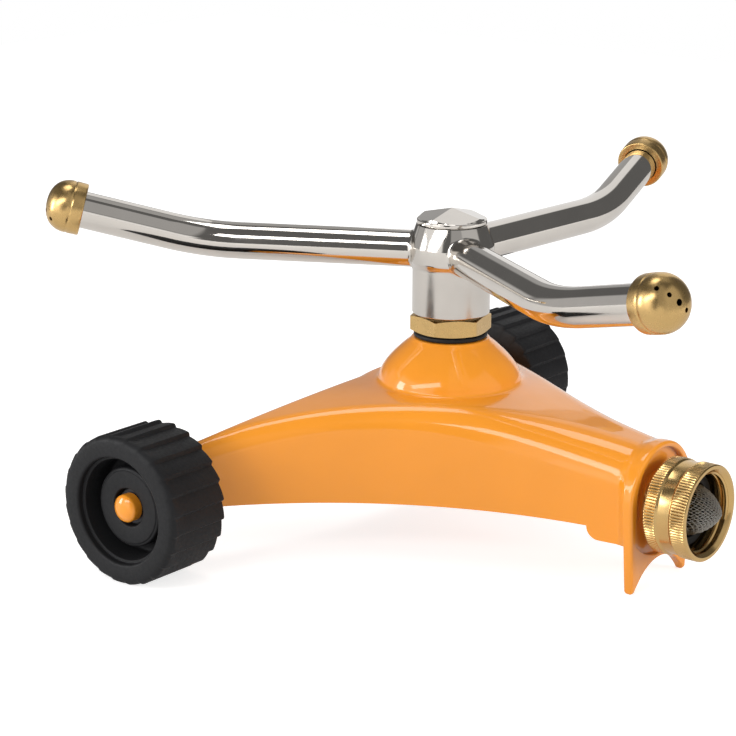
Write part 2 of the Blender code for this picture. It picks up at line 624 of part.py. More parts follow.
def make_wheel_set(tag, side, base, axis, materials):
    """Wheel on its axis empty, and the fixed pin, washer, ring and cap on the base."""
    make_wheel("wheel_" + tag, axis, side, materials["wheel_plastic"])
    well_floor = WHEEL_OUTER_Y - DISC_SET_BACK - CAP_WELL_DEPTH
    ring_bottom = well_floor + GAP
    ring_top = ring_bottom + PUSH_RING_THICK
    cap_bottom = ring_top + GAP
    pin_start = ARM_TIP_Y - PIN_GRIP + GAP
    pin_end = cap_bottom + AXLE_CAP_LENGTH - AXLE_CAP_WALL - GAP
    turn = (-90 * side, 0, 0)
    place = (AXLE_X, 0, WHEEL_RADIUS)
    pin = [(0, pin_start), (PIN_RADIUS, pin_start), (PIN_RADIUS, pin_end - SMALL_CHAMFER),
           (PIN_RADIUS - SMALL_CHAMFER, pin_end), (0, pin_end)]
    make_object("axle_pin_" + tag, turned_mesh(pin, 18), materials["axle_steel"], base, place, turn)
    washer_bottom = ARM_TIP_Y + GAP
    washer = ring_profile(PIN_RADIUS + GAP, WHEEL_WASHER_RADIUS, washer_bottom,
                          washer_bottom + WHEEL_WASHER_THICK)
    make_object("wheel_washer_" + tag, turned_mesh(washer, 20, True), materials["washer_nylon"],
                base, place, turn)
    ring = ring_profile(PIN_RADIUS + GAP, PIN_RADIUS + GAP + PUSH_RING_WALL, ring_bottom, ring_top)
    make_object("push_ring_" + tag, turned_mesh(ring, 24, True), materials["dark_steel"],
                base, place, turn)
    bore = PIN_RADIUS + GAP
    dome = AXLE_CAP_LENGTH * 0.42
    cap = [(bore, cap_bottom), (AXLE_CAP_RADIUS, cap_bottom)]
    cap += [(AXLE_CAP_RADIUS * math.cos(math.radians(a)),
             cap_bottom + AXLE_CAP_LENGTH - dome + dome * math.sin(math.radians(a)))
            for a in (0, 22, 44, 66)]
    cap += [(0, cap_bottom + AXLE_CAP_LENGTH), (0, pin_end + GAP), (bore, pin_end + GAP)]
    make_object("axle_cap_" + tag, closed_profile_mesh(cap, 20), materials["orange_paint"],
                base, place, turn)


def closed_profile_mesh(profile, segments):
    """Revolved cup: the profile starts and ends off the axis and touches it in between."""
    rings = []
    for radius, height in profile:
        if radius < 1e-6:
            rings.append([(0.0, 0.0, height)])
        else:
            rings.append([(radius * math.cos(2 * math.pi * k / segments),
                           radius * math.sin(2 * math.pi * k / segments), height)
                          for k in range(segments)])
    mesh_data = bmesh.new()
    levels = [[mesh_data.verts.new(point) for point in ring] for ring in rings]
    for low, high in zip(levels, levels[1:] + levels[:1]):
        if len(low) == 1 and len(high) == 1:
            continue
        for i in range(segments):
            j = (i + 1) % segments
            corners = [low[i % len(low)], low[j % len(low)], high[j % len(high)], high[i % len(high)]]
            mesh_data.faces.new(list(dict.fromkeys(corners)))
    return mesh_data


def make_swivel(base, axis, materials):
    """Coupling nut, hose washer, filter ring and cone turn; the tailpiece is fixed."""
    back = 0.0
    end = COUPLING_LENGTH
    smooth = COUPLING_RADIUS - COUPLING_BAND_STEP
    first = KNURL_BACK_LENGTH
    second = first + SMOOTH_LENGTH
    third = second + KNURL_FRONT_LENGTH
    hole = TAILPIECE_RADIUS + GAP
    nut = [(hole, back), (COUPLING_RADIUS - SMALL_CHAMFER, back), (COUPLING_RADIUS, back + SMALL_CHAMFER),
           (COUPLING_RADIUS, first), (smooth, first + 0.4), (smooth, second - 0.4),
           (COUPLING_RADIUS, second), (COUPLING_RADIUS, third), (smooth, third + 0.2), (smooth, end),
           (COUPLING_BORE_RADIUS + COUPLING_MOUTH_CHAMFER, end),
           (COUPLING_BORE_RADIUS, end - COUPLING_MOUTH_CHAMFER),
           (COUPLING_BORE_RADIUS, COUPLING_BACK_WALL), (hole, COUPLING_BACK_WALL)]
    turn = (0, 90, 0)
    make_object("hose_coupling", turned_mesh(nut, 32, True), materials["brass"], axis, turn=turn)
    flange = COUPLING_BACK_WALL + GAP
    flange_end = flange + TAILPIECE_FLANGE
    tail = [(TAILPIECE_BORE, flange - TAILPIECE_THREAD), (TAILPIECE_RADIUS, flange - TAILPIECE_THREAD),
            (TAILPIECE_RADIUS, flange), (TAILPIECE_FLANGE_RADIUS, flange),
            (TAILPIECE_FLANGE_RADIUS, flange_end), (TAILPIECE_BORE, flange_end)]
    make_object("inlet_tailpiece", turned_mesh(tail, 24, True), materials["brass"], base,
                (COUPLING_BACK_X, 0, INLET_HEIGHT), turn)
    washer_start = flange_end + GAP
    washer_end = washer_start + HOSE_WASHER_THICK
    washer = ring_profile(HOSE_WASHER_BORE, HOSE_WASHER_RADIUS, washer_start, washer_end)
    make_object("hose_washer", turned_mesh(washer, 24, True), materials["rubber"], axis, turn=turn)
    ring_start = washer_end + GAP
    ring_end = ring_start + FILTER_RING_THICK
    ring = ring_profile(FILTER_RING_BORE, FILTER_RING_RADIUS, ring_start, ring_end)
    make_object("filter_ring", turned_mesh(ring, 24, True), materials["rubber"], axis, turn=turn)
    make_filter(axis, washer_start + GAP, materials["mesh_steel"])


def make_filter(axis, start, material):
    """Blunt cone of mesh, open behind, leaning a little upwards at its tip."""
    profile = []
    steps = 5
    for shell, length in ((0.0, FILTER_LENGTH), (FILTER_WALL, FILTER_LENGTH - FILTER_WALL)):
        wall = []
        for k in range(steps):
            share = k / steps
            radius = (FILTER_RADIUS - shell) * (1 - share ** 2.0) ** 0.75
            wall.append((radius, start + length * share))
        profile.append(wall + [(0.0, start + length)])
    outer, inner = profile
    mesh_data = closed_profile_mesh(outer + inner[::-1], 20)
    for vertex in mesh_data.verts:
        # The part's local Z becomes +X, so local -X becomes +Z
        share = max((vertex.co.z - start) / FILTER_LENGTH, 0.0)
        vertex.co.x -= FILTER_LEAN * share
    make_object("filter_screen", mesh_data, material, axis, turn=(0, 90, 0))


def hexagon(flats, turn, scale=1.0):
    radius = flats / 2 / math.cos(math.radians(30)) * scale
    return [(radius * math.cos(math.radians(turn + 60 * k)), radius * math.sin(math.radians(turn + 60 * k)))
            for k in range(6)]


def make_spindle(base, materials):
    """Brass hexagon with a threaded stem below and a hollow journal above."""
    segments = 20
    stem_bottom = HEX_BOTTOM - STEM_DEPTH
    tube = [(SPINDLE_BORE, stem_bottom), (STEM_RADIUS, stem_bottom), (STEM_RADIUS, HEX_BOTTOM + 1.0),
            (JOURNAL_RADIUS, HEX_TOP - 1.0), (JOURNAL_RADIUS, NUT_BOTTOM - GAP),
            (NUT_THREAD_RADIUS, NUT_BOTTOM - GAP), (NUT_THREAD_RADIUS, JOURNAL_TOP),
            (SPINDLE_BORE, JOURNAL_TOP)]
    spindle = make_object("spindle", turned_mesh(tube, segments, True), materials["brass"], base)
    slim = 1 - HEX_CHAMFER / (HEX_FLATS / 2)
    levels = [(slim, HEX_BOTTOM), (1.0, HEX_BOTTOM + HEX_CHAMFER * 0.6),
              (1.0, HEX_TOP - HEX_CHAMFER * 0.6), (slim, HEX_TOP)]
    rings = [[(x, y, z) for x, y in hexagon(HEX_FLATS, HEX_TURN, scale)] for scale, z in levels]
    hex_helper = make_object("hexagon_helper", rings_to_mesh(rings))
    bore_helper = along_z("spindle_bore_cutter", SPINDLE_BORE, stem_bottom - CUT_MARGIN,
                          JOURNAL_TOP + CUT_MARGIN, segments)
    for helper in (hex_helper, bore_helper):
        helper.parent = base
    combine(spindle, hex_helper, 'UNION')
    combine(spindle, bore_helper, 'DIFFERENCE')
    washer = ring_profile(STEM_RADIUS + GAP, TOWER_WASHER_RADIUS, WASHER_BOTTOM,
                          WASHER_BOTTOM + TOWER_WASHER_THICK)
    make_object("tower_washer", turned_mesh(washer, 28, True), materials["rubber"], base)
    nut_rings = [[(x, y, z) for x, y in hexagon(SPINDLE_NUT_RADIUS * 2 * math.cos(math.radians(30)), 0)]
                 for z in (NUT_BOTTOM, NUT_TOP)]
    nut = make_object("spindle_nut", rings_to_mesh(nut_rings), materials["brass"], base)
    nut_bore = along_z("nut_bore_cutter", NUT_THREAD_RADIUS + GAP, NUT_BOTTOM - CUT_MARGIN,
                       NUT_TOP + CUT_MARGIN, segments)
    nut_bore.parent = base
    combine(nut, nut_bore, 'DIFFERENCE')


def make_bearing(rotor, materials):
    """Rings that sit round the journal and turn with the hub."""
    bore = JOURNAL_RADIUS + GAP
    pieces = [("thrust_washer", THRUST_WASHER_RADIUS, THRUST_BOTTOM, THRUST_WASHER_THICK, "washer_nylon"),
              ("hub_bush", BUSH_RADIUS, BUSH_BOTTOM, BUSH_LENGTH, "bush_bronze"),
              ("top_washer", TOP_WASHER_RADIUS, TOP_WASHER_BOTTOM, TOP_WASHER_THICK, "washer_nylon")]
    for name, radius, bottom, thick, slot in pieces:
        profile = ring_profile(bore, radius, bottom, bottom + thick)
        make_object(name, turned_mesh(profile, 20, True), materials[slot], rotor)
    ring = SEAL_SECTION / 2
    centre = bore + ring
    profile = [(centre + ring * math.cos(math.radians(a)),
                SEAL_BOTTOM + ring + ring * math.sin(math.radians(a))) for a in range(0, 360, 60)]
    make_object("journal_seal", turned_mesh(profile, 20, True), materials["rubber"], rotor)


def make_hub(rotor, materials):
    """Hub with its belt and cone, bored for the bearing below and the arms at the side."""
    shoulder_bore = JOURNAL_RADIUS + 2 * GAP
    thrust_bore = THRUST_WASHER_RADIUS + GAP
    thrust_top = THRUST_BOTTOM + THRUST_WASHER_THICK + GAP
    bush_bore = BUSH_RADIUS + GAP
    profile = [(thrust_bore, HUB_BOTTOM), (HUB_RADIUS - 0.4, HUB_BOTTOM), (HUB_RADIUS, HUB_BOTTOM + 0.4),
               (HUB_RADIUS, BELT_BOTTOM - 2.0), (HUB_RADIUS + 0.35, BELT_BOTTOM - 0.8),
               (BELT_RADIUS, BELT_BOTTOM + 0.4), (BELT_RADIUS, BELT_TOP),
               (CONE_TOP_RADIUS + 0.15, CONE_TOP - 0.3), (CONE_TOP_RADIUS - 0.2, CONE_TOP),
               (CHAMBER_RADIUS, CONE_TOP), (CHAMBER_RADIUS, SHOULDER_TOP),
               (shoulder_bore, SHOULDER_TOP), (shoulder_bore, SHOULDER_BOTTOM),
               (bush_bore, SHOULDER_BOTTOM), (bush_bore, thrust_top), (thrust_bore, thrust_top)]
    hub = make_object("rotor_hub", turned_mesh(profile, 30, True), materials["hub_steel"], rotor)
    for letter, turn in ARM_TURNS.items():
        bore = turned_mesh([(0, 0), (TUBE_RADIUS + GAP, 0), (TUBE_RADIUS + GAP, 12), (0, 12)], 18)
        cutter = make_object("arm_socket_cutter_" + letter, bore, parent=rotor, place=(0, 0, ARM_HEIGHT))
        angle = math.radians(turn)
        outward = Matrix.Rotation(angle, 4, 'Z') @ Matrix.Rotation(math.radians(90), 4, 'Y')
        cutter.rotation_euler = outward.to_euler()
        cutter.location = Vector((8.0 * math.cos(angle), 8.0 * math.sin(angle), ARM_HEIGHT)) * MM
        combine(hub, cutter, 'DIFFERENCE')


def make_hub_cap(rotor, materials):
    """Plug, rim and low four-sided roof that closes the hub's chamber."""
    segments = 32
    bottom = CONE_TOP + GAP
    plug = CHAMBER_RADIUS - GAP
    turns = [ROOF_TURN + 360.0 * k / segments for k in range(segments)]

    def circle(radius, height):
        return [(radius * math.cos(math.radians(turn)), radius * math.sin(math.radians(turn)), height)
                for turn in turns]

    rings = [[(0, 0, bottom - CAP_PLUG_LENGTH)], circle(plug, bottom - CAP_PLUG_LENGTH),
             circle(plug, bottom), circle(CONE_TOP_RADIUS, bottom),
             circle(CONE_TOP_RADIUS, CAP_RIM_TOP - 0.6),
             circle(CONE_TOP_RADIUS - 0.4, CAP_RIM_TOP - 0.1), circle(ROOF_RADIUS + 0.1, CAP_RIM_TOP)]
    for share in (0.995, 0.6):
        radius = ROOF_RADIUS * share
        ring = []
        for turn in turns:
            # The four facets fall straight away from the apex
            from_facet = (turn - ROOF_TURN) % 90 - 45
            fall = share * math.cos(math.radians(from_facet))
            ring.append((radius * math.cos(math.radians(turn)), radius * math.sin(math.radians(turn)),
                         ROOF_APEX - (ROOF_APEX - CAP_RIM_TOP) * fall))
        rings.append(ring)
    rings.append([(0, 0, ROOF_APEX)])
    make_object("hub_cap", rings_to_mesh(rings), materials["polished_steel"], rotor)


class ArmPath:
    """Straight root, one bend and a straight end, in the arm's own frame with +X outwards."""

    def __init__(self):
        self.bend = Vector((BEND_REACH, 0, 0))
        self.end = Vector((NOZZLE_REACH, NOZZLE_SWEEP, NOZZLE_RISE))
        self.out = Vector((1, 0, 0))
        self.tip = (self.end - self.bend).normalized()
        self.normal = self.out.cross(self.tip).normalized()
        self.bend_angle = self.out.angle(self.tip)

    def points(self, overlap, bend_steps):
        """Centre points with their directions, from the hub to past the back rim."""
        setback = BEND_RADIUS * math.tan(self.bend_angle / 2)
        centre = self.bend - self.out * setback + self.normal.cross(self.out) * BEND_RADIUS
        path = [(Vector((TUBE_START, 0, 0)), self.out)]
        for k in range(bend_steps + 1):
            turn = Matrix.Rotation(self.bend_angle * k / bend_steps, 3, self.normal)
            path.append((centre - turn @ self.normal.cross(self.out) * BEND_RADIUS, turn @ self.out))
        path.append((self.end + self.tip * overlap, self.tip))
        return path


def make_arm_tube(name, holder, path, material):
    """Hollow tube swept along the arm."""
    sides = 16
    rings = []
    stations = path.points(NOZZLE_OVERLAP, 6)
    for radius, order in ((TUBE_RADIUS, stations), (TUBE_RADIUS - TUBE_WALL, stations[::-1])):
        for centre, along in order:
            across = path.normal.cross(along)
            ring = [centre + (path.normal * math.cos(2 * math.pi * k / sides)
                              + across * math.sin(2 * math.pi * k / sides)) * radius for k in range(sides)]
            rings.append(ring)
    return make_object(name, rings_to_mesh(rings, closed_path=True), material, holder)


def make_nozzle_cap(name, holder, path, material):
    """Domed cap whose sleeve goes over the tube end, with a row of holes across the dome."""
    bore = TUBE_RADIUS + GAP
    dome = NOZZLE_LENGTH - NOZZLE_SLEEVE
    floor = NOZZLE_OVERLAP + GAP
    profile = [(bore, 0.0), (NOZZLE_RADIUS - 0.4, 0.0), (NOZZLE_RADIUS, 0.4)]
    profile += [(NOZZLE_RADIUS * math.cos(math.radians(a)) ** DOME_FULLNESS,
                 NOZZLE_SLEEVE + dome * math.sin(math.radians(a)) ** DOME_FULLNESS)
                for a in (0, 22, 44, 66)]
    inner_dome = NOZZLE_LENGTH - NOZZLE_WALL - floor
    profile += [(0, NOZZLE_LENGTH), (0, NOZZLE_LENGTH - NOZZLE_WALL)]
    profile += [((bore - 0.6) * math.cos(math.radians(a)), floor + inner_dome * math.sin(math.radians(a)))
                for a in (50, 0)]
    profile += [(bore, floor)]
    cap = make_object(name, closed_profile_mesh(profile, 20), material, holder)
    side = Vector((0, 0, 1)).cross(path.tip).normalized()
    frame = Matrix((side, path.tip.cross(side), path.tip)).transposed()
    cap.rotation_euler = frame.to_euler()
    cap.location = path.end * MM
    for k in range(-2, 3):
        radius = MIDDLE_HOLE_RADIUS if k == 0 else HOLE_RADIUS
        drill = turned_mesh([(0, 0), (radius, 0), (radius, 16), (0, 16)], 8)
        helper = make_object("%s_drill_%d" % (name, k + 2), drill, parent=cap)
        row = math.radians(HOLE_ROW_TURN)
        lean = math.radians(HOLE_STEP * k)
        aim = Vector((math.sin(lean) * math.cos(row), math.sin(lean) * math.sin(row), math.cos(lean)))
        helper.rotation_euler = aim.to_track_quat('Z', 'Y').to_euler()
        helper.location = (0, 0, (floor - DRILL_SET_BACK) * MM)
        combine(cap, helper, 'DIFFERENCE')
    return cap


def make_rotor(rotor, materials):
    make_hub(rotor, materials)
    make_hub_cap(rotor, materials)
    make_bearing(rotor, materials)
    path = ArmPath()
    for letter, turn in ARM_TURNS.items():
        holder = make_empty("arm_holder_" + letter, (0, 0, ARM_HEIGHT), rotor)
        holder.rotation_euler = (math.radians(ARM_ROLLS[letter]), 0, math.radians(turn))
        make_arm_tube("arm_tube_" + letter, holder, path, materials["polished_steel"])
        make_nozzle_cap("nozzle_cap_" + letter, holder, path, materials["brass"])


def centre_on_origin(frame):
    """Puts the middle of the outer box over the origin."""
    bpy.context.view_layer.update()
    corners = []
    for item in bpy.data.objects:
        if item.type == 'MESH' and not item.hide_render:
            corners += [item.matrix_world @ vertex.co for vertex in item.data.vertices]
    for axis in (0, 1):
        low = min(corner[axis] for corner in corners)
        high = max(corner[axis] for corner in corners)
        frame.location[axis] = -(low + high) / 2


def main():
    clear_scene()
    materials = {
        "orange_paint": make_material("orange_paint", (0.85, 0.30, 0.035), 0.18, 0.0),
        "wheel_plastic": make_material("wheel_plastic", (0.025, 0.027, 0.029), 0.6, 0.0),
        "rubber": make_material("rubber", (0.012, 0.012, 0.012), 0.55, 0.0),
        "brass": make_material("brass", (0.68, 0.47, 0.20), 0.32, 1.0),
        "polished_steel": make_material("polished_steel", (0.72, 0.70, 0.68), 0.15, 1.0),
        "hub_steel": make_material("hub_steel", (0.70, 0.68, 0.65), 0.30, 1.0),
        "mesh_steel": make_material("mesh_steel", (0.45, 0.44, 0.42), 0.4, 1.0),
        "axle_steel": make_material("axle_steel", (0.55, 0.55, 0.55), 0.35, 1.0),
        "dark_steel": make_material("dark_steel", (0.05, 0.05, 0.055), 0.45, 0.8),
        "washer_nylon": make_material("washer_nylon", (0.75, 0.74, 0.70), 0.5, 0.0),
        "bush_bronze": make_material("bush_bronze", (0.45, 0.27, 0.12), 0.4, 1.0),
    }
    frame = make_empty("sprinkler_frame", (0, 0, 0))
    base = make_empty("base_frame", (0, 0, 0), frame)
    rotor = make_empty("rotor_axis", (0, 0, 0), frame)
    near_axle = make_empty("near_axle", (AXLE_X, -(WHEEL_OUTER_Y - WHEEL_WIDTH / 2), WHEEL_RADIUS), frame)
    far_axle = make_empty("far_axle", (AXLE_X, WHEEL_OUTER_Y - WHEEL_WIDTH / 2, WHEEL_RADIUS), frame)
    swivel = make_empty("swivel_axis", (COUPLING_BACK_X, 0, INLET_HEIGHT), frame)
    make_base_casting(base, materials["orange_paint"])
    make_wheel_set("near", -1, base, near_axle, materials)
    make_wheel_set("far", 1, base, far_axle, materials)
    make_swivel(base, swivel, materials)
    make_spindle(base, materials)
    make_rotor(rotor, materials)
    centre_on_origin(frame)


main()
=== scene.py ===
"""Finished surfaces of a three-arm rotary sprinkler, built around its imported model.

Everything is in metres. Shapes are made about the hub axis, with +X to the hose
inlet, and moved to the frame's own place when they are done.
"""
import json
from math import acos, asin, atan2, cos, degrees, hypot, pi, radians, sin, sqrt, tan

import bmesh
import bpy
from bpy.props import FloatProperty, FloatVectorProperty, IntProperty, PointerProperty
from mathutils import Matrix, Vector


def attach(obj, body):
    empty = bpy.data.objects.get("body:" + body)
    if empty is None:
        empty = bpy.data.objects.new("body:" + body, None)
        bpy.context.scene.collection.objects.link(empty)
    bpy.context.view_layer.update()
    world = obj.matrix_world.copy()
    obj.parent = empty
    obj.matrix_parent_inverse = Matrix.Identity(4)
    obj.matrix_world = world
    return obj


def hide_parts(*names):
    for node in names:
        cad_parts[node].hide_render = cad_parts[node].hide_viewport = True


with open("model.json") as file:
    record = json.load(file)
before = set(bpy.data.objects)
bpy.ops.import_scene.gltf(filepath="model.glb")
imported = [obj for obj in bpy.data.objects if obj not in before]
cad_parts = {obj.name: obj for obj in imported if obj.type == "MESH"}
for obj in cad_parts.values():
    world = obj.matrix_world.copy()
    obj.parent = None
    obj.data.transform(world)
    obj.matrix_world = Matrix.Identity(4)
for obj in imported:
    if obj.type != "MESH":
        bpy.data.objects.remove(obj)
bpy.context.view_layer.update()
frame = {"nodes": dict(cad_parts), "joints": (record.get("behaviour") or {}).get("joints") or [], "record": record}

bl_info = {
    "name": "Rotary Sprinkler Looks",
    "version": (1, 0, 0),
    "blender": (4, 5, 0),
    "location": "3D View > Sidebar > Sprinkler",
    "description": "Builds the finished surfaces of a three-arm rotary sprinkler",
    "category": "Object",
}

MM = 0.001


def joint_place(name):
    """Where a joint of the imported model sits."""
    for joint in frame["joints"]:
        if joint["name"] == name:
            return Vector(joint["pos_m"])
    raise RuntimeError("the packed model has no joint " + name)


SPIN = joint_place("rotor_spin")
ORIGIN = Vector((SPIN.x, SPIN.y, 0.0))      # foot of the hub axis
SWIVEL = joint_place("hose_swivel") - ORIGIN
NEAR_AXLE = joint_place("near_wheel_roll") - ORIGIN
FAR_AXLE = joint_place("far_wheel_roll") - ORIGIN
AXLES = (("near", -1, NEAR_AXLE), ("far", 1, FAR_AXLE))     # name, side of the middle, place

GAP = 0.3 * MM
ROD_SIDES = 64

# Casting: plan, heights and rounding
AXLE_X = NEAR_AXLE.x
ARM_TIP_Y = 87.2 * MM
ARM_TIP_HALF_WIDTH = 5.3 * MM
SIDE_ARC_RADIUS = 169.0 * MM
NECK_HALF_WIDTH = 14.9 * MM
BACK_WAIST = 32.0 * MM
SKIRT_BOTTOM = 20.0 * MM
NECK_BOTTOM = 15.6 * MM
NECK_STEP_X = 68.0 * MM
WALL = 3.0 * MM
CREST_CENTRE = 55.0 * MM
CREST_TIP = 39.5 * MM
CREST_TIP_REACH = 100.0 * MM
NECK_CREST_START = 54.3 * MM
NECK_CREST_END = 46.7 * MM
CAVITY_NECK_X = 58.0 * MM
CAVITY_ARM_Y = 70.0 * MM
AXLE_BOSS_RADIUS = 6.5 * MM
AXLE_BOSS_LENGTH = 13.0 * MM
BOSS_SET_BACK = 0.4 * MM
PIN_RADIUS = 3.0 * MM
PIN_GRIP = 10.0 * MM
TOWER_TOP = 69.4 * MM
TOWER_TOP_RADIUS = 13.6 * MM
TOWER_BASE_RADIUS = 24.8 * MM
TOWER_BULGE = 0.39
COLUMN_RADIUS = 13.0 * MM
COLUMN_BOTTOM = 17.0 * MM
COLUMN_TOP = 59.4 * MM
STEM_WELL_BOTTOM = 23.0 * MM
STEM_RADIUS = 8.0 * MM

# Collar, feet and pocket
INLET_HEIGHT = SWIVEL.z
COLLAR_BACK_X = 83.0 * MM
COLLAR_FRONT_X = 86.3 * MM
COLLAR_ARCH_RADIUS = 18.7 * MM
COLLAR_ARCH_HEIGHT = 29.3 * MM
FOOT_SPREAD = 16.5 * MM
FOOT_REST_WIDTH = 1.4 * MM
FOOT_ARCH_TOP = 8.8 * MM
POCKET_HALF_WIDTH = 15.0 * MM
POCKET_TOP = 46.0 * MM
POCKET_BOTTOM = 10.3 * MM
POCKET_SAG = 6.3 * MM
POCKET_DEPTH = 2.0 * MM
INLET_TUBE_RADIUS = 11.6 * MM
CHANNEL_RADIUS = 6.0 * MM
THREAD_START_X = 75.7 * MM
COLLAR_LEDGE = 0.02 * MM        # the neck's skin stops this far inside the collar's outline
FOOT_TIP_HEIGHT = 3.0 * MM      # the feet's tips are rounded from this height down
NECK_FROM_X = 20.0 * MM         # the neck's middle line starts here
ARM_FROM_Y = 30.0 * MM          # a wheel arm's middle line starts here
MIDDLE_SOFT_SHARE = 0.3         # the rounded edges meet on the middle line in a soft ridge
MIDDLE_SOFT_LIMIT = 4.5 * MM
FLARE_START_RISE = 4.0 * MM     # above the arch's middle by this, the flare turns upwards
FLARE_LOW_SHARE = 0.3           # part of the flare that is left at the neck's bottom
END_CROWDING = 1.6              # crowds the casting's faces towards its edges and its collar

# Wheels
RECESS_RADIUS = 18.0 * MM
RECESS_LIP = 1.0 * MM
RECESS_LIP_DEPTH = 2.4 * MM
RECESS_DEPTH = 13.0 * MM
DISC_RADIUS = 13.4 * MM
DISC_SET_BACK = 5.2 * MM
CAP_WELL_RADIUS = 6.4 * MM
CAP_WELL_DEPTH = 3.2 * MM
INNER_RECESS_DEPTH = 6.0 * MM
WHEEL_HUB_RADIUS = 8.0 * MM
TREAD_PHASE = radians(5.0)
LUG_STEEP_SHARE = 0.16          # part of a lug's pitch that its steep side takes
LUG_SLOPE_CURVE = 1.15
LUG_SHARES = (0.0, 0.04, 0.08, 0.12, 0.16, 0.2, 0.32, 0.5, 0.68, 0.84, 0.95, 1.0)
AXLE_CAP_RADIUS = 4.7 * MM
AXLE_CAP_LENGTH = 5.0 * MM
AXLE_CAP_WALL = 1.2 * MM
AXLE_CAP_DOME_SHARE = 0.42
PUSH_RING_THICK = 0.8 * MM

# Hose swivel
COUPLING_RADIUS = 16.0 * MM
COUPLING_BAND_STEP = 0.6 * MM
KNURL_BACK_LENGTH = 4.5 * MM
SMOOTH_LENGTH = 5.3 * MM
KNURL_FRONT_LENGTH = 5.3 * MM
COUPLING_LIP_LENGTH = 0.4 * MM
COUPLING_BORE_RADIUS = 13.4 * MM
COUPLING_MOUTH_CHAMFER = 1.2 * MM
COUPLING_BACK_WALL = 2.4 * MM
RIB_SHARES = (0.0, 0.14, 0.3, 0.7, 0.86, 1.0)
HOSE_THREAD_START = 9.9 * MM
HOSE_THREAD_RUN = 4.0 * MM
TAILPIECE_RADIUS = 9.0 * MM
TAILPIECE_BORE = 6.0 * MM
TAILPIECE_THREAD = 15.0 * MM
TAILPIECE_FLANGE_RADIUS = 12.0 * MM
TAILPIECE_FLANGE = 1.8 * MM
HOSE_WASHER_THICK = 3.2 * MM
HOSE_WASHER_RADIUS = 12.9 * MM
HOSE_WASHER_BORE = 9.4 * MM
FILTER_RING_RADIUS = 12.0 * MM
FILTER_RING_BORE = 9.3 * MM
FILTER_RING_THICK = 0.7 * MM
FILTER_RADIUS = 9.0 * MM
FILTER_LENGTH = 14.6 * MM
FILTER_LEAN = 0.4 * MM
CLOTH_TURN = radians(38.0)
WIRE_POINTS = 76
WIRE_END_SHARE = 0.999          # the wires stop this close to the cone's foot
CONE_CURVE = 4.0 / 3.0          # how the cone's side curves in towards its tip

# Spindle
TOWER_WASHER_RADIUS = 12.7 * MM
TOWER_WASHER_BOTTOM = 69.7 * MM
TOWER_WASHER_TOP = 71.1 * MM
HEX_BOTTOM = 71.4 * MM
HEX_TOP = 77.4 * MM
HEX_TURN = radians(-15.5)
HEX_CHAMFER_SLOPE = radians(18.0)
HEX_CHAMFER_INSET = 0.35 * MM
ROOF_TURN = radians(1.5)
STEM_DEPTH = 33.0 * MM
SPINDLE_BORE = 5.0 * MM
JOURNAL_RADIUS = 8.0 * MM
JOURNAL_STEP = 90.6 * MM
JOURNAL_TOP = 95.5 * MM
NUT_THREAD_RADIUS = 6.7 * MM

# Hub and cap
HUB_BOTTOM = 77.9 * MM
HUB_RADIUS = 13.3 * MM
BELT_RADIUS = 14.6 * MM
BELT_BOTTOM = 96.2 * MM
BELT_TOP = 101.5 * MM
CONE_TOP = 108.8 * MM
CONE_TOP_RADIUS = 12.0 * MM
HUB_TOP_RADIUS = CONE_TOP_RADIUS + 0.1 * MM
BELT_EASE_START = BELT_BOTTOM - 2.2 * MM
BELT_EASE_END = BELT_BOTTOM + 0.4 * MM
CHAMBER_RADIUS = 10.2 * MM
THRUST_BORE = 11.8 * MM
THRUST_TOP = 79.0 * MM
BUSH_BORE = 10.4 * MM
SHOULDER_BORE = 8.6 * MM
SHOULDER_BOTTOM = 87.5 * MM
SHOULDER_TOP = 89.5 * MM
CAP_RIM_TOP = 110.5 * MM
ROOF_RADIUS = 11.3 * MM
ROOF_APEX = 114.1 * MM
CAP_PLUG_LENGTH = 3.0 * MM
ROOF_SHARES = (1.0, 0.97, 0.9, 0.75, 0.6, 0.45, 0.3, 0.15, 0.05)
SOCKET_START = 8.0 * MM
SOCKET_LENGTH = 12 * MM
SATIN = 0.22                    # roughness below the belt
POLISHED = 0.08                 # roughness from the belt up

# Arms
ARM_TURNS = {"a": 207.3, "b": 87.3, "c": -32.1}
ARM_ROLLS = {"a": 0.0, "b": 0.0, "c": -4.0}
ARM_HEIGHT = SPIN.z
TUBE_START = 10.8 * MM
BEND_REACH = 87.0 * MM
NOZZLE_REACH = 126.9 * MM
NOZZLE_SWEEP = 10.7 * MM
NOZZLE_RISE = 10.7 * MM
NOZZLE_OVERLAP = 6.7 * MM
HOLE_ROW_TURN = radians(-38.0)
DRILL_SET_BACK = 3.0 * MM
DRILL_LENGTH = 16.0 * MM
NOZZLE_WALL = 1.7 * MM
DOME_FULLNESS = 0.88            # below 1, the dome is fuller than a half ball

# View of the photograph
CAMERA_PLACE = Vector((441.8, -600.5, 264.7)) * MM
CAMERA_AZIMUTH = radians(38.52)
CAMERA_ELEVATION = radians(15.53)
CAMERA_ROLL = radians(0.15)
CAMERA_LENS = 109.62
SENSOR_WIDTH = 36.0
FLOOR_REACH = 1.1
CARD_FADE = radians(3.0)        # half of the fade at a card's edges
FLOOR_GLOW = 0.7                # what the floor adds for the camera
FLOOR_GLOW_MIRRORED = 0.3       # share of it that metal shows
DIM_ROOM = 0.13                 # what metal shows between the cards

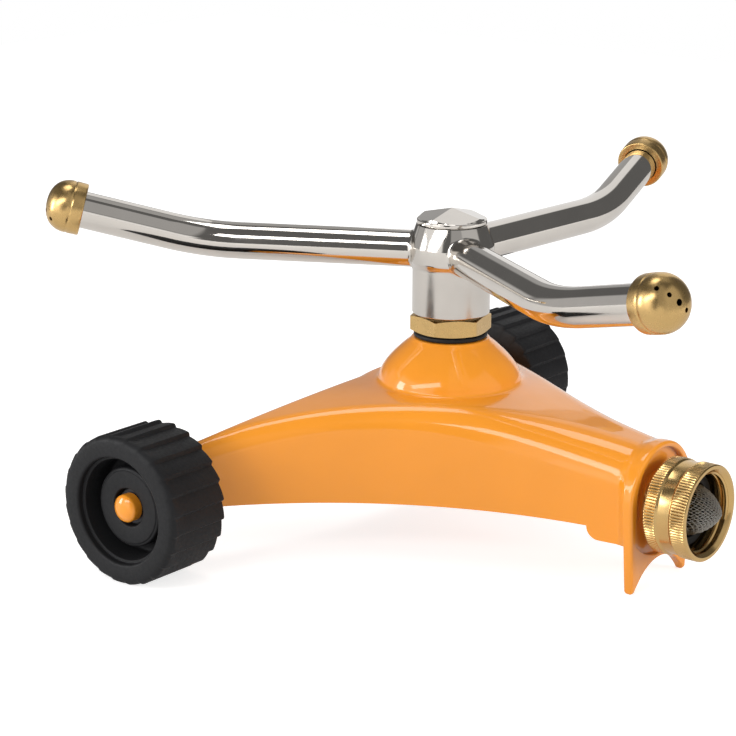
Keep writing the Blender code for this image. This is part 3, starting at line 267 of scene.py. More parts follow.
# White cards that metal shows: turn from the camera, elevation, brightness
ROOM_CARDS = (
    ((-101.0, -28.0), (-8.0, 33.0), 1.0),
    ((-70.0, -38.0), (-8.0, 16.0), 1.6),
    ((28.0, 88.0), (-8.0, 50.0), 0.6),
    ((-8.0, 25.0), (-12.0, 6.0), 1.0),
    ((-6.0, 45.0), (8.0, 74.0), 0.42),
    ((100.0, 185.0), (54.0, 80.0), 0.42),
    ((148.0, 185.0), (-8.0, 52.0), 0.9),
    ((-185.0, -165.0), (-8.0, 52.0), 0.4),
    ((-128.0, -101.0), (-8.0, 24.0), 0.5),
    ((-140.0, -128.0), (-8.0, 11.0), 0.55),
)

# Lamps: level, whether gloss mirrors it, (turn, elevation, distance), (width, height), tilt
LAMPS = (
    ("side_softbox", "key_level", True, (-87.0, 9.0, 1.5), (0.34, 0.6), 0.0),
    ("low_softbox", "low_level", True, (-46.0, 30.0, 1.5), (1.3, 0.34), 32.0),
    ("top_softbox", "top_level", True, (-140.0, 76.0, 1.4), (0.5, 0.5), 0.0),
    ("front_softbox", "front_level", False, (-42.0, 4.0, 1.5), (0.8, 0.8), 0.0),
    ("fill_softbox", "fill_level", False, (72.0, 12.0, 1.5), (0.66, 0.8), 0.0),
)


# Settings

def length(name, description, default, low=0.0001):
    return FloatProperty(name=name, description=description, default=default, min=low, max=0.5,
                         subtype='DISTANCE', unit='LENGTH', precision=5)


def colour(name, description, default):
    return FloatVectorProperty(name=name, description=description, default=default, size=3,
                               min=0.0, max=1.0, subtype='COLOR')


def level(name, description, default):
    return FloatProperty(name=name, description=description, default=default, min=0.0)


class CastingSettings(bpy.types.PropertyGroup):
    edge_round: length("Edge rounding", "Rounding along the top edges of the wheel arms", 7.0 * MM)
    neck_round: length("Neck rounding", "Rounding of the neck's shoulders", 13.0 * MM)
    tower_fillet: length("Tower fillet", "Fillet at the foot of the domed tower", 2.4 * MM)
    collar_round: length("Collar rounding", "Rounding of the collar's edges", 1.1 * MM)
    neck_flare: length("Neck flare", "Length of the fillet between the neck and the collar", 4.5 * MM)
    pocket_round: length("Pocket rounding", "Rounding of the pocket's front edge", 0.6 * MM)


class WheelSettings(bpy.types.PropertyGroup):
    radius: length("Radius", "Radius over the tread lugs", 25.2 * MM)
    width: length("Width", "Width of a wheel", 24.8 * MM)
    lugs: IntProperty(name="Lugs", description="Tread lugs round a wheel", default=24, min=6, max=60)
    tread_depth: length("Tread depth", "Depth of the grooves between the lugs", 1.1 * MM)
    shoulder: length("Shoulder", "Rounding between the tread and the outer face", 2.2 * MM)


class InletSettings(bpy.types.PropertyGroup):
    ribs: IntProperty(name="Knurl ribs", description="Ribs round each knurled band", default=100,
                      min=24, max=240)
    rib_depth: length("Knurl depth", "Depth of the grooves between the ribs", 0.3 * MM)
    thread_pitch: length("Thread pitch", "Pitch of the hose thread", 2.2 * MM)
    thread_ridge: length("Thread ridge", "Radius of the thread's ridge", 0.85 * MM)
    wires: IntProperty(name="Filter wires", description="Wires of the cone in each direction",
                       default=23, min=8, max=80)
    wire_radius: length("Wire radius", "Radius of a filter wire", 0.13 * MM, 0.00002)


class HeadSettings(bpy.types.PropertyGroup):
    hex_flats: length("Hexagon", "Width of the spindle's hexagon over its flats", 24.4 * MM)
    hex_edge: length("Hexagon edge", "Rounding of the hexagon's edges", 0.35 * MM)
    braze: length("Braze fillet", "Fillet between each arm and the hub", 0.9 * MM)
    tube_radius: length("Tube radius", "Outer radius of the arms", 6.35 * MM)
    tube_wall: length("Tube wall", "Wall of the arms", 0.9 * MM)
    bend_radius: length("Bend radius", "Radius of each arm's bend", 71.0 * MM)


class NozzleSettings(bpy.types.PropertyGroup):
    radius: length("Radius", "Radius of a nozzle cap", 9.1 * MM)
    length: length("Length", "Length of a nozzle cap", 12.9 * MM)
    sleeve: length("Sleeve", "Straight part of a nozzle cap", 4.7 * MM)
    holes: IntProperty(name="Holes", description="Spray holes across the dome", default=5, min=1, max=9)
    hole_step: FloatProperty(name="Hole step", description="Angle between the spray holes",
                             default=radians(25.0), subtype='ANGLE', unit='ROTATION')
    hole_radius: length("Hole radius", "Radius of the outer spray holes", 0.75 * MM)
    middle_hole: length("Middle hole radius", "Radius of the middle spray hole", 1.05 * MM)


class FinishSettings(bpy.types.PropertyGroup):
    paint: colour("Paint", "Gloss paint of the casting", (0.85, 0.30, 0.02))
    plastic: colour("Wheel plastic", "Moulded plastic of the wheels", (0.0105, 0.0106, 0.0115))
    rubber: colour("Rubber", "Washers and seals", (0.009, 0.009, 0.009))
    brass: colour("Brass", "Caps, hexagon and coupling", (0.66, 0.44, 0.18))
    steel: colour("Steel", "Arms, hub and cap", (0.72, 0.68, 0.63))
    nylon: colour("Nylon", "Slippery washers", (0.75, 0.74, 0.70))
    bronze: colour("Bronze", "Plain bearing bush", (0.45, 0.27, 0.12))


class StageSettings(bpy.types.PropertyGroup):
    key_level: level("Key level", "Brightness of the tall softbox at the side", 8.0)
    low_level: level("Low level", "Brightness of the long low softbox", 5.2)
    top_level: level("Top level", "Brightness of the overhead softbox", 3.5)
    front_level: level("Front level", "Brightness of the wide soft light in front", 5.0)
    fill_level: level("Fill level", "Brightness of the fill softbox", 9.0)
    room_level: level("Room level", "Brightness of the room all round", 0.44)


# Node helpers

def sign(operation):
    """Methods for an arithmetic sign, with a node's value before it and after it."""
    return (lambda value, other: value.rig.maths(operation, value, other),
            lambda value, other: value.rig.maths(operation, other, value))


class Value:
    """Output of a node; arithmetic on it adds the nodes that work it out."""
    __add__, __radd__ = sign('ADD')
    __sub__, __rsub__ = sign('SUBTRACT')
    __mul__, __rmul__ = sign('MULTIPLY')
    __truediv__, __rtruediv__ = sign('DIVIDE')

    def __init__(self, rig, socket):
        self.rig = rig
        self.socket = socket


class NodeRig:
    """Adds nodes to a tree and links them."""

    def __init__(self, tree):
        self.tree = tree

    def add(self, kind, inputs=None, **settings):
        node = self.tree.nodes.new(kind)
        for key, value in settings.items():
            setattr(node, key, value)
        for key, value in (inputs or {}).items():
            self.feed(node.inputs[key], value)
        return node

    def out(self, kind, inputs=None, **settings):
        """First output of a new node."""
        return Value(self, self.add(kind, inputs, **settings).outputs[0])

    def feed(self, socket, value):
        if isinstance(value, Value):
            self.tree.links.new(value.socket, socket)
        elif isinstance(value, bpy.types.NodeSocket):
            self.tree.links.new(value, socket)
        else:
            socket.default_value = value

    def maths(self, operation, *values):
        return self.out('ShaderNodeMath', dict(enumerate(values)), operation=operation)

    def vector(self, x=0.0, y=0.0, z=0.0):
        return self.out('ShaderNodeCombineXYZ', {0: x, 1: y, 2: z})


def shape_tree(name, sizes):
    """Geometry node group with the named inputs: its rig, its values and their identifiers."""
    tree = bpy.data.node_groups.new(name, 'GeometryNodeTree')
    kinds = {int: 'NodeSocketInt', float: 'NodeSocketFloat', Vector: 'NodeSocketVector'}
    tree.interface.new_socket("Geometry", in_out='INPUT', socket_type='NodeSocketGeometry')
    tree.interface.new_socket("Geometry", in_out='OUTPUT', socket_type='NodeSocketGeometry')
    identifiers = {}
    for label, value in sizes.items():
        kind = kinds.get(type(value), 'NodeSocketMaterial')
        identifiers[label] = tree.interface.new_socket(label, in_out='INPUT', socket_type=kind).identifier
    rig = NodeRig(tree)
    outputs = rig.add('NodeGroupInput').outputs
    given = {label: Value(rig, outputs[label]) for label in ("Geometry", *sizes)}
    return rig, given, identifiers


def finish_tree(rig, geometry, material):
    """Ends a tree: real mesh, smooth faces and its material."""
    real = rig.out('GeometryNodeRealizeInstances', {0: geometry})
    smooth = rig.out('GeometryNodeSetShadeSmooth', {0: real})
    dressed = rig.out('GeometryNodeSetMaterial', {0: smooth, "Material": material})
    rig.add('NodeGroupOutput', {0: dressed})


def run_tree(piece, rig, identifiers, sizes):
    """Runs the tree on the piece and keeps the result as its plain mesh."""
    modifier = piece.modifiers.new(rig.tree.name, 'NODES')
    modifier.node_group = rig.tree
    for label, value in sizes.items():
        modifier[identifiers[label]] = value
    bake_modifiers(piece)


def bake_modifiers(piece):
    """The evaluated shape becomes the piece's own mesh."""
    bpy.context.view_layer.update()
    depsgraph = bpy.context.evaluated_depsgraph_get()
    old = piece.data
    mesh = bpy.data.meshes.new_from_object(piece.evaluated_get(depsgraph), depsgraph=depsgraph)
    piece.modifiers.clear()
    piece.data = mesh
    mesh.name = piece.name
    bpy.data.meshes.remove(old)


# Mesh helpers

def rounded(corners, steps=4):
    """Closed outline through (u, v, radius) corners, each rounded by its radius."""
    points = []
    for index, (u, v, radius) in enumerate(corners):
        here = Vector((u, v))
        if radius <= 0.0:
            points.append((u, v))
            continue
        back = (Vector(corners[index - 1][:2]) - here).normalized()
        ahead = (Vector(corners[(index + 1) % len(corners)][:2]) - here).normalized()
        half = back.angle(ahead) / 2
        centre = here + (back + ahead).normalized() * radius / sin(half)
        start = here + back * radius / tan(half) - centre
        end = here + ahead * radius / tan(half) - centre
        first = atan2(start.y, start.x)
        swing = atan2(end.y, end.x) - first
        swing = (swing + pi) % (2 * pi) - pi
        for k in range(steps + 1):
            angle = first + swing * k / steps
            points.append((centre.x + radius * cos(angle), centre.y + radius * sin(angle)))
    return points


def arc_points(centre, radius, start, end, count, crowding=1.0):
    """Points on an arc, angles in degrees, both ends included, crowded towards its end."""
    shares = [1 - (1 - k / (count - 1)) ** crowding for k in range(count)]
    angles = [radians(start + (end - start) * share) for share in shares]
    return [(centre[0] + radius * cos(a), centre[1] + radius * sin(a)) for a in angles]


def quarter_turn(steps):
    """Angles from nought to a right angle, both included."""
    return [pi / 2 * k / steps for k in range(steps + 1)]


def around(radius, turn, height):
    """Point at a turn about Z."""
    return (radius * cos(turn), radius * sin(turn), height)


def bezier(start, control, end, count):
    """Points of a quadratic curve, both ends included."""
    points = []
    for k in range(count):
        t = k / (count - 1)
        points.append(tuple((1 - t) ** 2 * a + 2 * t * (1 - t) * b + t * t * c
                            for a, b, c in zip(start, control, end)))
    return points


def smooth_step(value, low, high):
    share = min(max((value - low) / (high - low), 0.0), 1.0)
    return share * share * (3 - 2 * share)


def rings_to_mesh(rings, closed_path=False):
    """Faces between rings of points. A ring of one point closes an end."""
    shape = bmesh.new()
    levels = [[shape.verts.new(point) for point in ring] for ring in rings]
    pairs = list(zip(levels, levels[1:]))
    if closed_path:
        pairs.append((levels[-1], levels[0]))
    for low, high in pairs:
        if len(low) == 1 and len(high) == 1:
            continue
        count = max(len(low), len(high))
        for i in range(count):
            j = (i + 1) % count
            corners = [low[i % len(low)], low[j % len(low)], high[j % len(high)], high[i % len(high)]]
            shape.faces.new(list(dict.fromkeys(corners)))
    if not closed_path:
        for end in (levels[0], levels[-1]):
            if len(end) > 1:
                shape.faces.new(end)
    return shape


def turned(profile, segments):
    """Solid of revolution about Z from a closed (radius, height) profile."""
    turns = [2 * pi * k / segments for k in range(segments)]
    rings = []
    for radius, height in profile:
        on_axis = radius < 1e-7
        rings.append([(0.0, 0.0, height)] if on_axis else [around(radius, t, height) for t in turns])
    return rings_to_mesh(rings, closed_path=True)


def frame_along(place, direction):
    """Matrix whose Z runs along a direction that isn't upright, from the place."""
    forward = direction.normalized()
    across = Vector((0, 0, 1)).cross(forward).normalized()
    turn = Matrix((across, forward.cross(across), forward)).transposed().to_4x4()
    return Matrix.Translation(place) @ turn


ALONG_X = Matrix(((0, 0, 1), (0, 1, 0), (-1, 0, 0))).to_4x4()
IN_SWIVEL = Matrix.Translation(SWIVEL) @ ALONG_X
FINISHES = {}


def new_object(name, shape, clean=True):
    """Object from a bmesh, smooth and facing outwards."""
    if clean:
        bmesh.ops.remove_doubles(shape, verts=shape.verts, dist=0.002 * MM)
        bmesh.ops.recalc_face_normals(shape, faces=shape.faces)
    mesh = bpy.data.meshes.new(name)
    shape.to_mesh(mesh)
    shape.free()
    piece = bpy.data.objects.new(name, mesh)
    bpy.context.scene.collection.objects.link(piece)
    return piece


def dress(piece, body, slot, node, sharp=34.0, place=None, finish=None):
    """Puts a finished piece in the frame, on its body, in place of its node."""
    mesh = piece.data
    mesh.transform(Matrix.Translation(ORIGIN) @ (place or Matrix.Identity(4)))
    mesh.materials.clear()
    mesh.materials.append(FINISHES[finish or slot])
    mesh.shade_smooth()
    mesh.set_sharp_from_angle(angle=radians(sharp))
    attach(piece, body)
    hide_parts(node)


def combine(piece, helpers, operation):
    """Joins helpers to a piece, or cuts them out of it, in one go."""
    group = bpy.data.collections.new("helpers_" + piece.name)
    for helper in helpers:
        group.objects.link(helper)
    modifier = piece.modifiers.new(operation.lower(), 'BOOLEAN')
    modifier.operation = operation
    modifier.solver = 'EXACT'
    modifier.operand_type = 'COLLECTION'
    modifier.collection = group
    bake_modifiers(piece)
    bpy.data.collections.remove(group)
    for helper in helpers:
        bpy.data.objects.remove(helper, do_unlink=True)


def rubber_ring(node, body, bore, radius, start, end, edge, segments=96, place=None):
    """Flat rubber ring with rounded edges."""
    section = rounded([(bore, start, edge), (radius, start, edge), (radius, end, edge), (bore, end, edge)])
    dress(new_object(node + "_skin", turned(section, segments)), body, "rubber", node, place=place)


def rod(name, radius, start, end, axis, place=(0, 0, 0)):
    """Cylinder along X, Y or Z that helps to build a piece."""
    shape = turned([(0, start), (radius, start), (radius, end), (0, end)], ROD_SIDES)
    turns = {'X': ALONG_X, 'Y': Matrix.Rotation(-pi / 2, 4, 'X'), 'Z': Matrix.Identity(4)}
    half_facet = Matrix.Rotation(pi / ROD_SIDES, 4, 'Z')
    bmesh.ops.transform(shape, matrix=Matrix.Translation(place) @ turns[axis] @ half_facet,
                        verts=shape.verts)
    return new_object(name, shape)


# Finishes

def noise(rig, scale, detail=2.0, stretch=(1.0, 1.0, 1.0), rough=0.5):
    """Noise on object coordinates; scale is in cells a metre."""
    place = rig.add('ShaderNodeTexCoord').outputs['Object']
    coordinates = rig.out('ShaderNodeMapping', {'Vector': place, 'Scale': stretch})
    return rig.out('ShaderNodeTexNoise', {'Vector': coordinates, 'Scale': scale, 'Detail': detail,
                                          'Roughness': rough})


def spread(rig, value, low, high, from_low=0.3, from_high=0.7):
    """The value's stretch from from_low to from_high, brought to the one from low to high."""
    return rig.out('ShaderNodeMapRange', {'Value': value, 'From Min': from_low, 'From Max': from_high,
                                          'To Min': low, 'To Max': high})


def blend_colours(rig, share, first, second):
    node = rig.add('ShaderNodeMix', data_type='RGBA')
    rig.feed(node.inputs['Factor'], share)
    rig.feed(node.inputs[6], (*first, 1.0))
    rig.feed(node.inputs[7], (*second, 1.0))
    return node.outputs[2]


def shade(colour_value, factor):
    return tuple(min(c * factor, 1.0) for c in colour_value)


def make_finish(slot, base, tone, rough, relief, depth, inputs):
    """Finish with an uneven tone, roughness and surface.

    tone is a noise's scale and detail with the darkest and lightest share of the base
    colour, rough the same with the least and most roughness, and relief the values of
    the noise that the bump reads.
    """
    material = bpy.data.materials.new(slot + "_finish")
    material.use_nodes = True
    rig = NodeRig(material.node_tree)
    shader = material.node_tree.nodes["Principled BSDF"].inputs
    scale, detail, darkest, lightest = tone
    share = spread(rig, noise(rig, scale, detail), 0.0, 1.0)
    rig.feed(shader['Base Color'], blend_colours(rig, share, shade(base, darkest), shade(base, lightest)))
    scale, detail, least, most = rough
    uneven = spread(rig, noise(rig, scale, detail), least, most)
    rig.feed(shader['Roughness'], uneven)
    surface = rig.out('ShaderNodeBump', {'Height': noise(rig, *relief), 'Strength': 1.0,
                                         'Distance': depth * MM})
    rig.feed(shader['Normal'], surface)
    for label, value in inputs.items():
        rig.feed(shader[label], value)
    FINISHES[slot] = material
    return rig, shader, surface, uneven


def make_finishes(settings):
    # Gloss enamel over a die casting: clear coat and faint orange peel
    enamel = {'Specular IOR Level': 0.15, 'Coat Weight': 1.0, 'Coat Roughness': 0.03, 'Coat IOR': 1.52}
    rig, shader, peel, _ = make_finish("orange_paint", settings.paint, (22.0, 3.0, 0.95, 1.04),
                                       (160.0, 2.0, 0.28, 0.36), (420.0, 1.0), 0.012, enamel)
    rig.feed(shader['Coat Normal'], peel)

    # Matte moulded plastic with a fine grain, and rubber
    for slot, base in (("wheel_plastic", settings.plastic), ("washer_nylon", settings.nylon)):
        make_finish(slot, base, (60.0, 4.0, 0.88, 1.18), (900.0, 3.0, 0.48, 0.64), (2600.0, 3.0), 0.05,
                    {'Specular IOR Level': 0.24})
    make_finish("rubber", settings.rubber, (220.0, 3.0, 1.0, 1.5), (700.0, 2.0, 0.48, 0.62),
                (1800.0, 2.0), 0.03, {'Specular IOR Level': 0.25})

    # Metals with fine tool lines: roughness, lines a metre along X, Y and Z, their depth, stains
    metals = (
        ("brass", settings.brass, 0.27, (900.0, 900.0, 900.0), 0.006, 0.05),
        ("turned_brass", settings.brass, 0.2, (5000.0, 60.0, 60.0), 0.002, 0.04),
        ("polished_steel", settings.steel, 0.075, (500.0, 500.0, 500.0), 0.002, 0.03),
        ("mesh_steel", (0.48, 0.465, 0.43), 0.36, (2500.0, 2500.0, 2500.0), 0.01, 0.06),
        ("axle_steel", (0.55, 0.55, 0.55), 0.3, (150.0, 8000.0, 150.0), 0.004, 0.06),
        ("dark_steel", (0.06, 0.06, 0.065), 0.4, (1200.0, 1200.0, 1200.0), 0.01, 0.06),
        ("bush_bronze", settings.bronze, 0.38, (120.0, 120.0, 5000.0), 0.008, 0.06),
    )
    for slot, base, roughness, lines, depth, stains in metals:
        make_finish(slot, base, (90.0, 4.0, 1.0 - stains, 1.0 + stains),
                    (350.0, 3.0, roughness * 0.82, roughness * 1.2), (1.0, 3.0, lines, 0.6), depth,
                    {'Metallic': 1.0})

    # The hub is satin below and polished from the belt up, with turned lines round its axis
    rig, shader, _, uneven = make_finish("hub_steel", settings.steel, (70.0, 3.0, 0.88, 0.96),
                                         (260.0, 3.0, 0.9, 1.15), (1.0, 2.0, (60.0, 60.0, 6000.0), 0.6),
                                         0.004, {'Metallic': 1.0})
    place = rig.add('ShaderNodeTexCoord').outputs['Object']
    height = rig.add('ShaderNodeSeparateXYZ', {0: place}).outputs['Z']
    polish = spread(rig, height, 0.0, 1.0, BELT_BOTTOM - 1.6 * MM, BELT_BOTTOM - 0.2 * MM)
    satin = rig.out('ShaderNodeMix', {0: polish, 2: SATIN, 3: POLISHED}, data_type='FLOAT')
    rig.feed(shader['Roughness'], satin * uneven)


# Casting

class CastingPlan:
    """Plan of the casting, drawn in by an inset from its three concave sides."""

    def __init__(self, inset, neck_x, tip_y, side_count, back_count, neck_count):
        self.side_radius = SIDE_ARC_RADIUS + inset
        tip = Vector((AXLE_X + ARM_TIP_HALF_WIDTH, ARM_TIP_Y))
        neck = Vector((COLLAR_BACK_X, NECK_HALF_WIDTH))
        half_chord = (neck - tip) / 2
        away = Vector((-half_chord.y, half_chord.x)).normalized()
        rise = sqrt(SIDE_ARC_RADIUS ** 2 - half_chord.length_squared)
        self.centre = (tip + neck) / 2 + away * rise
        sag = -BACK_WAIST - (AXLE_X - ARM_TIP_HALF_WIDTH)
        back_radius = (ARM_TIP_Y ** 2 + sag ** 2) / (2 * sag)
        self.back_centre_x = -BACK_WAIST - back_radius
        self.back_radius = back_radius + inset
        start = degrees(pi - asin((self.centre.y - tip_y) / self.side_radius))
        end = degrees(acos((neck_x - self.centre.x) / self.side_radius))
        near = arc_points((self.centre.x, -self.centre.y), self.side_radius, start, end, side_count,
                          END_CROWDING)
        far = [(x, -y) for x, y in reversed(near)]
        swing = degrees(asin(tip_y / self.back_radius))
        back = arc_points((self.back_centre_x, 0.0), self.back_radius, swing, -swing, back_count)
        self.points = (near + self.between(near[-1], far[0], neck_count) + far
                       + self.between(far[-1], back[0], 4) + back + self.between(back[-1], near[0], 4))

    @staticmethod
    def between(start, end, count):
        return [(start[0] + (end[0] - start[0]) * k / (count + 1),
                 start[1] + (end[1] - start[1]) * k / (count + 1)) for k in range(1, count + 1)]

    def depth(self, x, y):
        """Distance inside the nearest of the three concave sides."""
        side = hypot(x - self.centre.x, abs(y) - self.centre.y) - self.side_radius
        back = hypot(x - self.back_centre_x, y) - self.back_radius
        return max(min(side, back), 0.0)

    def middle_depth(self, x, y):
        """Depth on the middle line of the neck or of a wheel arm, beside a point."""
        if x > NECK_FROM_X:
            return self.depth(x, 0.0)
        if abs(y) > ARM_FROM_Y:
            side = self.centre.x - sqrt(self.side_radius ** 2 - (abs(y) - self.centre.y) ** 2)
            back = self.back_centre_x + sqrt(self.back_radius ** 2 - y ** 2)
            return self.depth((side + back) / 2, y)
        return 1.0

    def edge_fall(self, x, y, rounding):
        """How far the rounded edges bring the skin down; the middle line stays smooth."""
        middle = self.middle_depth(x, y)
        soft = min(MIDDLE_SOFT_SHARE * middle, MIDDLE_SOFT_LIMIT)
        from_middle = max(middle - self.depth(x, y), 0.0)
        if from_middle < soft:
            from_middle = soft / 2 + from_middle ** 2 / (2 * soft)
        inside = min(max(rounding - middle + from_middle, 0.0), rounding)
        return rounding - sqrt(rounding ** 2 - inside ** 2)

    def share_at_depth(self, end, depth, inner_share):
        """How far along the ray from the hub axis the depth inside the edge is reached."""
        low, high = inner_share, 1.0
        for _ in range(30):
            middle = (low + high) / 2
            if self.depth(end[0] * middle, end[1] * middle) > depth:
                low = middle
            else:
                high = middle
        return (low + high) / 2


def crest_height(x, y):
    """Top of the casting before its edges are rounded."""
    reach = hypot(x, y)
    arm = CREST_CENTRE - (CREST_CENTRE - CREST_TIP) * (reach / CREST_TIP_REACH) ** 2
    slope = (NECK_CREST_START - NECK_CREST_END) / (COLLAR_BACK_X - TOWER_BASE_RADIUS)
    neck = NECK_CREST_START - slope * (reach - TOWER_BASE_RADIUS)
    return arm + (neck - arm) * smooth_step(x / max(reach, 1e-6), 0.2, 0.9)


def tower_column(x, y, reach, fillet):
    """Points down the domed tower towards one point of the plan, ending on the crest."""
    bulge_height = CREST_CENTRE + TOWER_BULGE * (TOWER_TOP - CREST_CENTRE)
    dome = bezier((TOWER_TOP_RADIUS, TOWER_TOP - 0.7 * MM), (TOWER_BASE_RADIUS - 1.1 * MM, bulge_height),
                  (TOWER_BASE_RADIUS - 0.2 * MM, CREST_CENTRE + 0.4 * MM), 16)
    top_edge = bezier((TOWER_TOP_RADIUS - 0.9 * MM, TOWER_TOP), (TOWER_TOP_RADIUS - 0.2 * MM, TOWER_TOP),
                      dome[0], 4)[:-1]
    corner = TOWER_BASE_RADIUS / reach
    foot = (TOWER_BASE_RADIUS + fillet) / reach
    skirt = bezier(dome[-1], (TOWER_BASE_RADIUS - 0.1 * MM, crest_height(x * corner, y * corner)),
                   (TOWER_BASE_RADIUS + fillet, crest_height(x * foot, y * foot)), 7)[1:]
    return [(r * x / reach, r * y / reach, z) for r, z in top_edge + dome + skirt]


def edge_rounding(settings, x, room, drop):
    """Rounding of the top edges: larger towards the neck, and never more than there is room for."""
    growth = (settings.neck_round - settings.edge_round) * smooth_step(x, 0.0, NECK_STEP_X)
    return max(min(settings.edge_round + growth - drop, 0.9 * room), 0.3 * MM)


def casting_shell(plan, bottom, drop, settings, flat_steps, corner_steps, with_tower):
    """Closed body under the crest: rays run from the hub axis to the plan's outline."""
    fillet = settings.tower_fillet
    columns = []
    for x, y in plan.points:
        reach = hypot(x, y)
        inner = (TOWER_BASE_RADIUS + fillet + 0.4 * MM) / reach
        room = plan.depth(x * inner, y * inner)
        edge = edge_rounding(settings, x, room, drop)
        column = tower_column(x, y, reach, fillet) if with_tower else []
        flat = plan.share_at_depth((x, y), edge, inner)
        first = 1 if with_tower else 0
        shares = [flat - (flat - inner) * (1 - k / flat_steps) ** END_CROWDING
                  for k in range(first, flat_steps)]
        end_depth = min(plan.depth(x, y), edge)
        for lean in quarter_turn(corner_steps)[:-1]:
            depth = end_depth + (edge - end_depth) * (1 - sin(lean))
            shares.append(plan.share_at_depth((x, y), depth, inner))
        for share in shares + [1.0]:
            px, py = x * share, y * share
            rounding = edge_rounding(settings, px, room, drop)
            column.append((px, py, crest_height(px, py) - drop - plan.edge_fall(px, py, rounding)))
        column.append((x, y, bottom))
        columns.append(column)
    top = TOWER_TOP if with_tower else crest_height(0.0, 0.0) - drop
    rings = [[(0.0, 0.0, top)]] + [list(ring) for ring in zip(*columns)] + [[(0.0, 0.0, bottom)]]
    return rings_to_mesh(rings)


def collar_side(height):
    """Half width of the collar at a height below the middle of its arch."""
    return FOOT_SPREAD + (COLLAR_ARCH_RADIUS - FOOT_SPREAD) * height / COLLAR_ARCH_HEIGHT


def room_to_collar(y, z, outward):
    """How far a point of the neck's skin is inside the collar's outline, along a direction."""
    if z <= COLLAR_ARCH_HEIGHT:
        return (collar_side(z) - abs(y)) / max(abs(outward.x), 0.2)
    from_middle = Vector((y, z - COLLAR_ARCH_HEIGHT))
    along = from_middle.dot(outward)
    return -along + sqrt(max(along ** 2 - from_middle.length_squared + COLLAR_ARCH_RADIUS ** 2, 0.0))


def flare_neck(shape, settings):
    """Bends the neck's skin out to meet the collar's edge in a fillet."""
    start = COLLAR_BACK_X - settings.neck_flare
    steps = 12
    for k in range(steps + 1):
        bmesh.ops.bisect_plane(shape, geom=shape.verts[:] + shape.edges[:] + shape.faces[:],
                               dist=0.001 * MM, plane_co=(start + settings.neck_flare * k / steps, 0, 0),
                               plane_no=(1, 0, 0))
    for vertex in shape.verts:
        along = vertex.co.x - start
        if along <= 0.0:
            continue
        shoulder = 0.1 * NECK_HALF_WIDTH
        off_centre = vertex.co.y - min(max(vertex.co.y, -shoulder), shoulder)
        rise = vertex.co.z - COLLAR_ARCH_HEIGHT - FLARE_START_RISE
        outward = Vector((off_centre, max(rise, 0.0)))
        if outward.length < 1e-7:
            continue
        outward.normalize()
        share = min(along / settings.neck_flare, 1.0)
        room = room_to_collar(vertex.co.y, vertex.co.z, outward) - COLLAR_LEDGE
        inner = max(abs(vertex.co.y) / NECK_HALF_WIDTH, vertex.co.z / NECK_CREST_END)
        push = room * smooth_step(share, 0.0, 1.0) * smooth_step(inner, 0.5, 0.9)
        rising = smooth_step(vertex.co.z, NECK_BOTTOM, INLET_HEIGHT)
        push *= FLARE_LOW_SHARE + (1 - FLARE_LOW_SHARE) * rising
        vertex.co.y += outward.x * push
        vertex.co.z += outward.y * push


def loft(name, outlines):
    """Closed body through outlines of the same count, each a list of points."""
    return new_object(name, rings_to_mesh(outlines))


def offset_outline(points, distances):
    """Outline moved outwards along its own normals; the points run anticlockwise."""
    moved = []
    for index, (point, distance) in enumerate(zip(points, distances)):
        before = Vector(points[index - 1])
        after = Vector(points[(index + 1) % len(points)])
        run = (after - before).normalized()
        moved.append((point[0] + run.y * distance, point[1] - run.x * distance))
    return moved


def make_collar(settings):
    """Shield-shaped plate with its two feet, rounded all round."""
    over = arc_points((0.0, COLLAR_ARCH_HEIGHT), COLLAR_ARCH_RADIUS, 0.0, 180.0, 61)
    half = FOOT_SPREAD - FOOT_REST_WIDTH
    radius = (half ** 2 + FOOT_ARCH_TOP ** 2) / (2 * FOOT_ARCH_TOP)
    swing = degrees(asin((radius - FOOT_ARCH_TOP) / radius))
    under = arc_points((0.0, FOOT_ARCH_TOP - radius), radius, 180.0 - swing, swing, 41)
    corners = [(u, v, 0.0) for u, v in over] + [(-FOOT_SPREAD, 0.0, 0.5 * MM)]
    corners += [(u, v, 0.0) for u, v in under[1:-1]] + [(FOOT_SPREAD, 0.0, 0.5 * MM)]
    first, last = under[0], under[-1]
    corners.insert(len(over) + 1, (first[0], first[1], 0.4 * MM))
    corners.insert(len(corners) - 1, (last[0], last[1], 0.4 * MM))
    outline = rounded(corners, 4)
    edge = settings.collar_round
    quarter = quarter_turn(6)
    stations = [(COLLAR_BACK_X + edge * (1 - sin(a)), 0.0, edge * (1 - cos(a)))
                for a in reversed(quarter)]
    stations += [(COLLAR_FRONT_X - edge * (1 - sin(a)), edge * (1 - cos(a)), 0.0) for a in quarter]
    rings = []
    for x, front, back in stations:
        insets = [-(front + back * below_neck(v)) * edge_share(u, v) for u, v in outline]
        rings.append([(x, y, z + (front + back) * max(1 - z / FOOT_TIP_HEIGHT, 0.0))
                      for y, z in offset_outline(outline, insets)])
    return loft("collar_helper", rings)


def below_neck(height):
    """The collar's back edge is rounded only where no neck meets it."""
    return 1 - smooth_step(height, NECK_BOTTOM - 5.0 * MM, NECK_BOTTOM - 1.0 * MM)


def edge_share(across, height):
    """The collar's edges are rounded fully outside, and less at the arch and the feet's tips."""
    arch = abs(across) < collar_side(height) - 0.8 * MM and height < POCKET_BOTTOM
    return 0.35 if arch else 0.35 + 0.65 * smooth_step(height, 1.0 * MM, 7.0 * MM)


